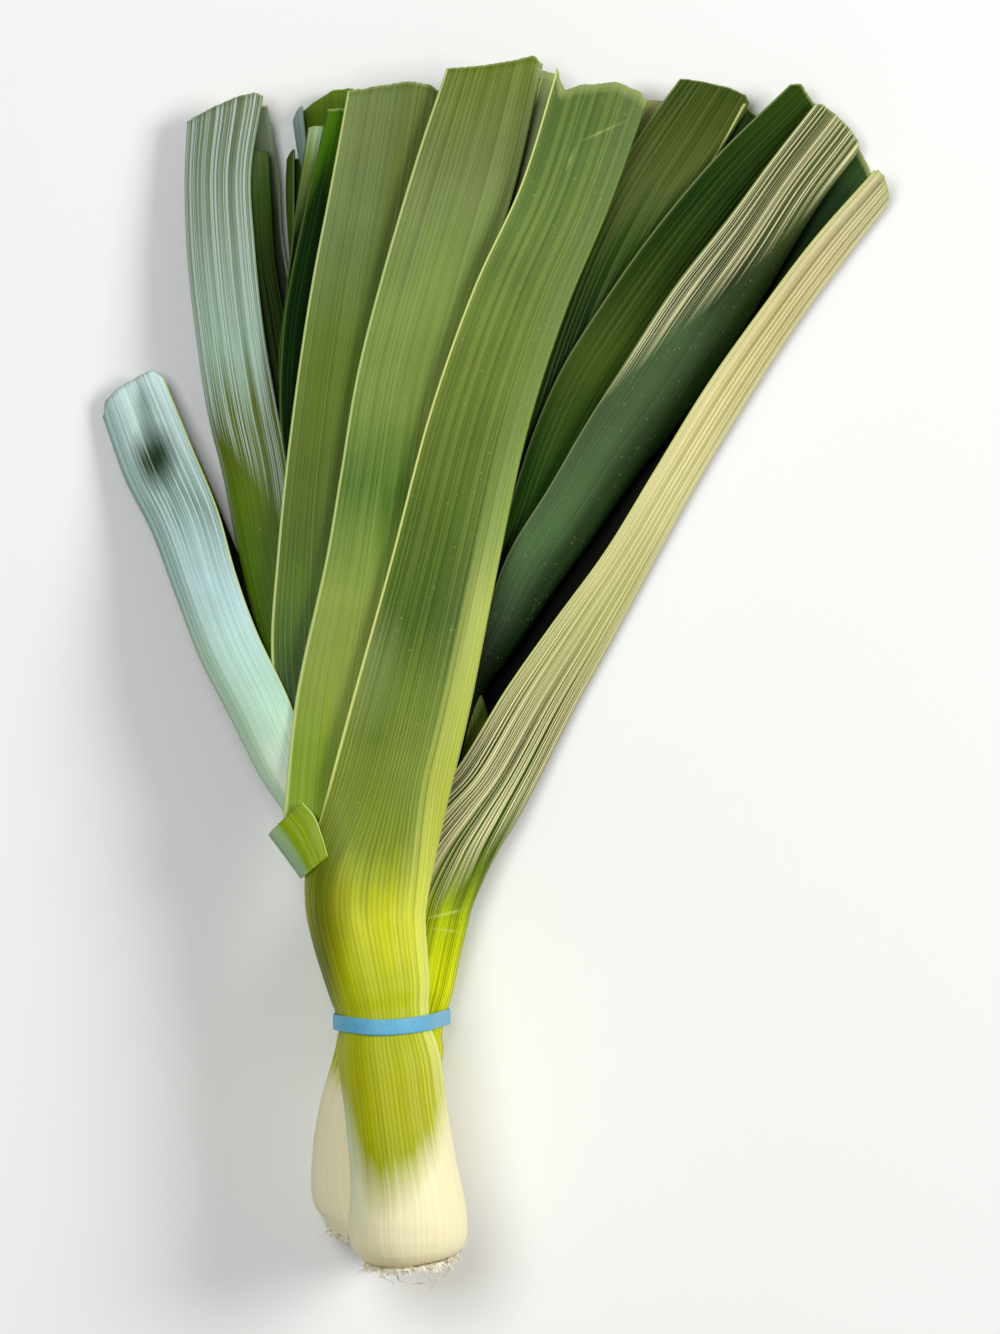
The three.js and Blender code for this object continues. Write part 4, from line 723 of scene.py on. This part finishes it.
# The rear leek's younger leaves lie lower. Its right rank shows beside the front leek, two of them dark
# green and one striped with straw, and its left rank is nearly hidden under the front leek's fan.
rear_leaves = {
    "rear_leaf_2": dict(
        keel=[(-34.8, -79.6, 16.4), (-39.6, -59.6, 15.6), (-47.6, -27.6, 14), (-57.2, 12.4, 12.4),
              (-66, 56.4, 11), (-73.2, 96.4, 10), (-79.6, 136.4, 9.2), (-83.2, 170.4, 8.6),
              (-84.4, 194.4, 8.4), (-84, 206, 8.2)],
        near=[(-28.4, -79.6, 24), (-33.2, -59.6, 22), (-41.2, -27.6, 19.4), (-51.6, 12.4, 17.2),
              (-61.2, 56.4, 15.4), (-69.2, 96.4, 14), (-76.4, 136.4, 13), (-80.6, 170.4, 12.2),
              (-81.2, 194.4, 12), (-81.2, 210, 11.6)],
        far=[(-19.6, -79.6, 8), (-22.8, -59.6, 6), (-28, -27.6, 4), (-34.8, 12.4, 2.4), (-42, 56.4, 1.6),
             (-49.2, 96.4, 1.4), (-55.6, 136.4, 1.4), (-58.8, 170.4, 1.4), (-60, 194.4, 1.4),
             (-60, 212, 1.4)],
        near_tip=[0, -0.8, -1.2, -1.2, -0.6, 0],
        paint=[(-0.05, (120, 146, 30)), (0.05, (60, 84, 6)), (0.15, (62, 88, 8)), (0.21, (72, 98, 20))],
        stripe=(120, 140, 70), stripes=0.2, keel_paint=[(0, (90, 110, 50))], gloss=0.42,
    ),
    "rear_leaf_3": dict(
        keel=[(-13.2, -67.6, 16.8), (-10.8, -39.6, 15), (-5.2, -10.4, 13.4), (8.8, 9.2, 11.8),
              (24.4, 32.4, 10.4), (40, 53.6, 9.4), (58, 78.8, 8.8), (75.2, 100.4, 8.6), (93.2, 126, 8.6),
              (113.2, 158.4, 8.8), (130, 186.8, 9.2), (146.4, 208.8, 9.6)],
        near=[(-34, -67.6, 26.4), (-28, -39.6, 25.6), (-17.6, -7.6, 24.8), (-4.8, 20.4, 24.2),
              (5.6, 47.6, 23.6), (21.6, 73.6, 23), (37.2, 100.4, 22.4), (52, 123.6, 22),
              (71.2, 153.2, 21.6), (94, 182.4, 21.2), (110.8, 205.2, 20.6), (128, 227.2, 19.6)],
        far=[(-32, -67.6, 9.4), (-26, -39.6, 7.6), (-15, -7.6, 6.4), (-2.8, 20.4, 5.8), (8, 47.6, 5.4),
             (24, 72, 5), (40, 98, 5), (55, 121, 5), (74, 150, 5), (97, 179, 5.2), (114, 202, 5.6),
             (131, 223, 6)],
        near_tip=[-1, -3.4, -4.3, -3.9, -3, -1],
        # Painted shadow: the lower part of this leaf and its keel side, where they lie in shadow, are
        # painted near black.
        paint=[(-0.05, (11, 30, 3)), (0, (7, 20, 3)), (0.05, (79, 109, 65)), (0.1, (70, 92, 54)),
               (0.135, (69, 93, 55)), (0.16, (33, 50, 20)), (0.2, (76, 84, 36)), (0.23, (79, 92, 42))],
        stripe=(228, 222, 168), stripes=1, striped=(12, -1.95), fullness=0.018,
        veins=90, lines=0.8, grooves=0.45, gloss=0.5, keel_width=0.5, streaky=0.3,
        keel_paint=[(-0.05, (8, 20, 2)), (0.05, (22, 42, 8)), (0.12, (34, 54, 18)), (0.17, (60, 76, 36)),
                    (0.2, (90, 104, 60))],
    ),
    "rear_leaf_4": dict(
        keel=[(-34, -67.6, 17.4), (-41.2, -31.6, 16), (-50, 8.4, 14.6), (-58, 48.4, 13.4),
              (-65.2, 88.4, 12.6), (-71.6, 132.4, 12), (-75.6, 168.4, 11.8), (-77.4, 198.4, 11.8),
              (-79.6, 208.8, 12), (-81.4, 221, 12.4)],
        near=[(-30, -67.6, 22.4), (-36.4, -31.6, 20.8), (-45.2, 8.4, 19.2), (-53.2, 48.4, 17.8),
              (-60.4, 88.4, 16.8), (-67.2, 132.4, 16.2), (-71.6, 168.4, 16.2), (-73.6, 196.4, 16.6),
              (-75.6, 209.4, 17.4), (-77.4, 226.6, 18.4)],
        far=[(-22, -67.6, 13), (-26.8, -31.6, 10.4), (-32.4, 8.4, 8.6), (-38.8, 48.4, 7.2),
             (-45.2, 88.4, 6.2), (-50.8, 132.4, 5.6), (-54, 168.4, 5.4), (-55.6, 196.4, 5.6),
             (-57.2, 212.4, 6.2), (-57.2, 234.8, 7.4)],
        near_tip=[0, -1.5, -3, -3, -1.5, 0], far_tip=[0, -4, -6.5, -6.6, -2.4, 0],
        paint=[(-0.05, (120, 146, 30)), (0.1, (60, 84, 6)), (0.17, (60, 84, 40)), (0.205, (120, 146, 134)),
               (0.235, (166, 190, 186))],
        stripe=(170, 190, 176), stripes=0.35, keel_paint=[(0, (150, 172, 150))], gloss=0.42,
        # Painted shade: the inside of the fold is painted near black low down, where it lies in shadow.
        inner=[(0.15, (20, 40, 0)), (0.21, (70, 98, 24)), (0.232, (96, 124, 10))],
    ),
    "rear_leaf_5": dict(
        keel=[(-9, -11.6, 15), (9.2, 21.2, 13.2), (24.4, 52.4, 12), (38, 81.2, 11.2), (50.8, 104.4, 10.8),
              (62, 122, 10.6), (79.6, 146, 10.6), (93.2, 165.2, 10.6), (110.8, 188.4, 10.8),
              (134, 215.2, 11.2)],
        near=[(-22, -7.6, 21.8), (-6.4, 28.4, 20.4), (5.2, 64.4, 19.2), (15.6, 96.4, 18.4),
              (26.8, 121.6, 18), (38.8, 141.2, 17.6), (58, 169.2, 17.4), (72, 187.2, 17.2),
              (90.8, 208.8, 17.2), (118, 235, 17.2)],
        far=[(-20, -7.6, 11.6), (-4, 28.4, 9.8), (8, 62, 8.6), (18, 94, 7.8), (29, 119, 7.6),
             (41, 138, 7.6), (58, 163, 7.6), (72, 184, 7.6), (87.2, 206, 7.8), (101.6, 227.2, 8.2)],
        near_tip=[-1, -2, -2.8, -3.2, -3.6, -1], far_tip=[0, 0, 4, 6, 2, 0],
        paint=[(0, (19, 56, 1)), (0.08, (24, 63, 1)), (0.13, (64, 83, 27)), (0.16, (38, 59, 3)),
               (0.19, (19, 48, 1)), (0.235, (43, 69, 1))],
        stripe=(96, 112, 54), stripes=0.3, keel_paint=[(0, (70, 90, 40))],
        gloss=0.55, sheen=0.06,
    ),
    "rear_leaf_6": dict(
        keel=[(-24, -39.6, 17.4), (-30, -3.6, 16.6), (-33.6, 40.4, 15.6), (-33.6, 84.4, 14.8),
              (-30.8, 124.4, 14.2), (-26.4, 164.4, 13.8), (-20, 204.4, 13.6), (-16, 226, 13.6)],
        near=[(-12, -39.6, 21), (-12, -3.6, 20.4), (-11.2, 40.4, 19.4), (-9.2, 84.4, 18.8),
              (-4.8, 124.4, 18.4), (0.4, 164.4, 18), (6.8, 204.4, 17.8), (11.2, 226, 17.8)],
        near_tip=[0, 0, 0, 1, 2, 2],
        paint=[(-0.03, (110, 136, 30)), (0.05, (70, 94, 30)), (0.22, (74, 98, 50))],
        stripe=(120, 140, 90), stripes=0.3, keel_paint=[(0, (90, 110, 60))], gloss=0.45,
    ),
    "rear_leaf_7": dict(
        keel=[(-10.8, -11.6, 17), (0.4, 16.4, 15.6), (12.4, 43.4, 14.6), (24, 75.6, 13.6), (36, 106, 13),
              (48.8, 136.4, 12.8), (62.8, 163.6, 12.8), (76.4, 186.4, 12.8), (90.8, 208.4, 13),
              (102, 228, 13.2)],
        near=[(-22, -9.6, 20.4), (-14, 18.4, 19.2), (-5.2, 46.4, 18.2), (5.2, 78.4, 17.2),
              (14, 110.4, 16.6), (23.2, 140.4, 16.4), (34, 170.4, 16.2), (46.8, 197.2, 16.2),
              (62, 221.2, 16.4), (74, 237.6, 16.6)],
        far=[(-22, -9.6, 13.6), (-14, 18.4, 12), (-5.2, 46.4, 11), (5.2, 78.4, 10), (14, 110.4, 9.4),
             (22.4, 140.4, 9.2), (32, 171.4, 9.2), (43.2, 199, 9.2), (52.8, 217, 9.4), (60.4, 229.8, 9.6)],
        near_tip=[-1.4, -4.4, -5.1, -3.9, -2.2, -0.8], far_tip=[0, 0, 0, 0, 0, 0],
        paint=[(0, (18, 43, 1)), (0.14, (14, 45, 2)), (0.17, (42, 70, 1)), (0.195, (83, 98, 46)),
               (0.215, (71, 83, 27)), (0.235, (54, 72, 10))],
        stripe=(104, 116, 62), stripes=0.4,
        # Painted shade: the inside of the fold is near black low down, where it lies in shadow, and pale at
        # the tip.
        inner=[(0.18, (14, 24, 0)), (0.2, (120, 126, 70)), (0.21, (186, 190, 116))],
        keel_paint=[(0, (80, 96, 40))], gloss=0.55, sheen=0.08,
    ),
}
young_leaves(rear_leaves, edge=(120, 136, 84), first_seed=40)


# The heart of each leek: the inner sheaths, rolled tight, which fill the neck between the leaves and
# taper out where the blades part.
def heart(name, stations, seed):
    leaf = opened_sheath([station + (0,) for station in stations], [], opens=(90, 91))
    leaf["near_tip"] = leaf["far_tip"] = [0, 0, 0, 0, 0, 0]
    core = leaf_body(name, leaf, columns=60, rows=40, relief=0.08, ribs=30, thick=0.8, seed=seed)
    core.data.materials.append(leaf_finish(name + "_green", dict(
        paint=[(-0.1, (190, 200, 80)), (-0.05, (130, 156, 20)), (0.0, (70, 96, 10))],
        stripe=(180, 196, 110), stripes=0.2, keel_paint=[(0, (150, 170, 60))], gloss=0.45,
    ), edge=(180, 196, 90), seed=seed))
    return core


front_heart = heart("front_heart", [
    (-50.0, -92.0, 56.0, 20.0, 12.5), (-49.2, -75.4, 55.2, 22.4, 10.8), (-46.4, -59.6, 53.2, 22.4, 8.8),
    (-44.6, -43.6, 51.6, 22.4, 7.0), (-44.0, -27.6, 50.0, 21.4, 5.2), (-44.0, -11.6, 48.4, 19.0, 3.0),
    (-43.6, 0.4, 47.2, 12.0, 1.0),
], 61)
rear_heart = heart("rear_heart", [
    (-30.4, -91.0, 16.6, 18.0, 12.0), (-27.6, -77.6, 16.4, 19.4, 11.4), (-24.8, -62.0, 16.6, 19.8, 9.0),
    (-22.6, -46.0, 16.8, 20.4, 6.8), (-21.6, -29.6, 17.0, 20.0, 5.0), (-20.8, -12.8, 17.2, 17.0, 3.0),
    (-20.0, -2.0, 17.4, 11.0, 1.0),
], 67)
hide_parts("front_shaft_and_outer_leaf")
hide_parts("rear_shaft_and_outer_leaf")


# The root plates: a low woody dome at the end of each bulb, with a matted fringe of cut rootlets round
# its rim and a few long hairs that the knife missed.
def strand(roots, route, thick, thin, sides, steps):
    path = line_through(route)
    made = bmesh.ops.create_grid(roots, x_segments=sides, y_segments=steps, size=0.5, calc_uvs=True)
    for vertex in made["verts"]:
        turn, along = (vertex.co.x + 0.5) * 2 * math.pi, vertex.co.y + 0.5
        ahead = (path(min(along + 0.02, 1)) - path(max(along - 0.02, 0))).normalized()
        aside = ahead.cross(Vector((0.31, 0.17, 0.93))).normalized()
        above = aside.cross(ahead)
        radius = mixed(thick, thin, along) * (1 if 0 < along < 1 else 0.15)
        vertex.co = (path(along) + (aside * math.cos(turn) + above * math.sin(turn)) * radius) * mm


def root_plate(name, end, outwards, radius, count, hairs, seed):
    chance = random.Random(seed)
    out = Vector(outwards).normalized()
    across = Vector((0, 0, 1)).cross(out).normalized()
    up = out.cross(across)
    roots = bmesh.new()
    roots.loops.layers.uv.new("UVMap")

    def on(reach, angle, depth):
        return Vector(end) + across * reach * math.cos(angle) + up * reach * math.sin(angle) + out * depth

    dome = bmesh.ops.create_grid(roots, x_segments=72, y_segments=14, size=0.5, calc_uvs=True)
    for vertex in dome["verts"]:
        angle, rise = (vertex.co.x + 0.5) * 2 * math.pi, vertex.co.y + 0.5
        reach = radius * (1 - rise) ** 0.8
        lump = 0.35 * noise.noise(Vector((math.cos(angle) * 4, math.sin(angle) * 4, rise * 6 + seed)))
        vertex.co = on(reach, angle, 0.1 + 2.6 * math.sin(rise * math.pi / 2) ** 0.7 + lump) * mm
    # The fringe of cut rootlets, which stand out at the rim and lean in towards the middle.
    for i in range(count):
        angle = 2 * math.pi * (i + chance.random()) / count
        row = chance.random() ** 1.6
        reach = radius * (0.99 - 0.55 * row)
        length = 1.6 + 2.4 * chance.random()
        turn = angle + chance.uniform(-0.3, 0.3)
        lean = 0.95 - 1.1 * row + chance.uniform(-0.25, 0.25)
        curl = chance.uniform(-0.8, 0.8)
        strand(roots, [
            on(reach, angle, 0.2),
            on(reach + lean * length * 0.35, turn, 0.8 + length * 0.3),
            on(reach + lean * length * 0.75 + curl * 0.4, turn + 0.04 * curl, 0.8 + length * 0.62),
            on(reach + lean * length + curl, turn + 0.08 * curl, 0.7 + length * 0.9),
        ], thick=0.42, thin=0.16, sides=5, steps=6)
    # Fine fuzz at the rim.
    for i in range(count * 3):
        angle = math.pi * (i + chance.random()) / (count * 1.5)
        reach = radius * (1.02 - 0.25 * chance.random())
        length = 1.0 + 2.4 * chance.random()
        turn = angle + chance.uniform(-0.5, 0.5)
        strand(roots, [
            on(reach, angle, 0.2),
            on(reach + 0.8 * length * 0.5, turn, 0.5 + length * 0.4),
            on(reach + chance.uniform(0.2, 1.0) * length, turn, chance.uniform(0.4, 1.2) + length * 0.6),
        ], thick=0.13, thin=0.07, sides=4, steps=5)
    for hair in hairs:
        strand(roots, [
            Vector(end) + across * side + up * rise + out * depth for side, rise, depth in hair
        ], thick=0.22, thin=0.1, sides=5, steps=22)
    bmesh.ops.remove_doubles(roots, verts=roots.verts, dist=0.004 * mm)
    bmesh.ops.recalc_face_normals(roots, faces=roots.faces)
    piece = set_out(name, roots, True)
    fibre, surface = new_finish(name + "_fibre")
    where = new_node(fibre, "TexCoord")
    specks = speckle(fibre, where.outputs["Object"], scale=420, detail=5)
    earthy, dry, pale = paint(96, 72, 34), paint(210, 196, 156), paint(250, 245, 226)
    feed(fibre, ramp(fibre, specks, (0.3, earthy), (0.4, dry), (0.52, pale)), surface["Base Color"])
    surface["Roughness"].default_value = 0.85
    piece.data.materials.append(fibre)
    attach(piece, "root")
    return piece


front_roots = root_plate("front_roots", end=(-33.5, -231.4, 62.6), outwards=(0.095, -0.975, -0.19),
                         radius=17.4, count=260, seed=7, hairs=[
    [(14, 5, 1), (17.5, 5, 1), (20, 4, -1), (23.5, 3, -5)],
    [(14, 6, 2), (15, 4, 5.5), (11, 3, 9.5), (7, 3, 9.2), (3, 4, 8)],
    [(-6, 8, 4), (-5, 6, 8), (1, 6, 9.6), (6, 5, 10.4), (9, 5, 9.8), (10.4, 5, 11)],
    [(-15, 4, 2), (-11, 5, 6.5), (-8, 5, 8.6), (-7.6, 5, 11.4)],
    [(9, 5, 9.8), (7.5, 4, 12.6), (5, 4, 13.6), (0, 4, 13.8), (-6, 4, 12.2)],
])
rear_roots = root_plate("rear_roots", end=(-50.2, -228.4, 20.2), outwards=(-0.34, -0.94, 0),
                        radius=16, count=200, seed=19, hairs=[
    [(-13, 3, 1), (-17, 3, 1), (-20.5, 4, -1.5), (-24, 4, 0.5)],
    [(-13, -3, 1), (-15, -2, 3), (-18, -3, 5), (-21, -3, 5)],
])
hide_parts("front_root_plate")
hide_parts("rear_root_plate")


# The rubber band: a loop of blue rubber, cut square and a little rounded at the edges, that bites into
# both shafts where they cross.
def band_route():
    """The taut line round both shafts, seen from the root end, as a string would lie on them."""
    clear_of_skin = 0.4
    outline = []
    for stations in (front_stations, rear_stations):
        for y in (-143.5, -139.0, -134.5):
            i = next(i for i, station in enumerate(stations) if station[1] > y)
            share = (y - stations[i - 1][1]) / (stations[i][1] - stations[i - 1][1])
            x, _, z, wide, deep, _ = [mixed(a, b, share) for a, b in zip(stations[i - 1], stations[i])]
            wide, deep = wide + clear_of_skin, deep + clear_of_skin
            for degrees in range(0, 360, 2):
                angle = math.radians(degrees)
                outline.append((x + wide * math.cos(angle), z + deep * math.sin(angle)))
    taut = []
    for step in range(720):
        angle = math.radians(step / 2)
        furthest = max(outline, key=lambda spot: spot[0] * math.cos(angle) + spot[1] * math.sin(angle))
        if not taut or furthest != taut[-1]:
            taut.append(furthest)
    return taut


taut = band_route()
run = [0.0]
for here, following in zip(taut, taut[1:] + taut[:1]):
    run.append(run[-1] + math.hypot(following[0] - here[0], following[1] - here[1]))


def on_band(share):
    """The place on the taut line at a share of its length."""
    far_along = (share % 1.0) * run[-1]
    i = next(i for i in range(len(taut)) if run[i + 1] >= far_along)
    step = (far_along - run[i]) / max(run[i + 1] - run[i], 1e-6)
    here, following = taut[i], taut[(i + 1) % len(taut)]
    return Vector((mixed(here[0], following[0], step), 0, mixed(here[1], following[1], step)))


half_band_width = 3.15
half_band_thickness = 0.5
band_y = -138.6
band = bmesh.new()
band.loops.layers.uv.new("UVMap")
bmesh.ops.create_grid(band, x_segments=16, y_segments=260, size=0.5, calc_uvs=True)
for vertex in band.verts:
    turn, along = (vertex.co.x + 0.5) * 2 * math.pi, vertex.co.y + 0.5
    here = on_band(along)
    ahead = on_band(along + 0.006) - on_band(along - 0.006)
    outwards = Vector((ahead.z, 0, -ahead.x)).normalized()
    wide = math.copysign(abs(math.cos(turn)) ** 0.35, math.cos(turn)) * half_band_width
    deep = math.copysign(abs(math.sin(turn)) ** 0.45, math.sin(turn)) * half_band_thickness
    bow = 1.7 * math.cos((here.x + 45) / 13) * max(0, (here.z - 30) / 50)
    wave = 0.12 * noise.noise(Vector((along * 40, 1, 2)))
    place = here + outwards * (deep + half_band_thickness)
    vertex.co = (place + Vector((0, band_y - bow + wide + wave, 0))) * mm
bmesh.ops.remove_doubles(band, verts=band.verts, dist=0.01 * mm)
bmesh.ops.recalc_face_normals(band, faces=band.faces)
blue_band = set_out("blue_band", band, True)
rubber, surface = new_finish("blue_rubber")
where = new_node(rubber, "TexCoord")
dust = speckle(rubber, where.outputs["Object"], scale=900, detail=3)
blue, pale_blue = paint(88, 164, 200), paint(102, 178, 212)
feed(rubber, ramp(rubber, dust, (0.3, blue), (0.7, pale_blue)), surface["Base Color"])
surface["Roughness"].default_value = 0.5
relief_on(rubber, dust, strength=0.15, distance=0.2 * mm)
blue_band.data.materials.append(rubber)
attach(blue_band, "root")
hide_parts("rubber_band")
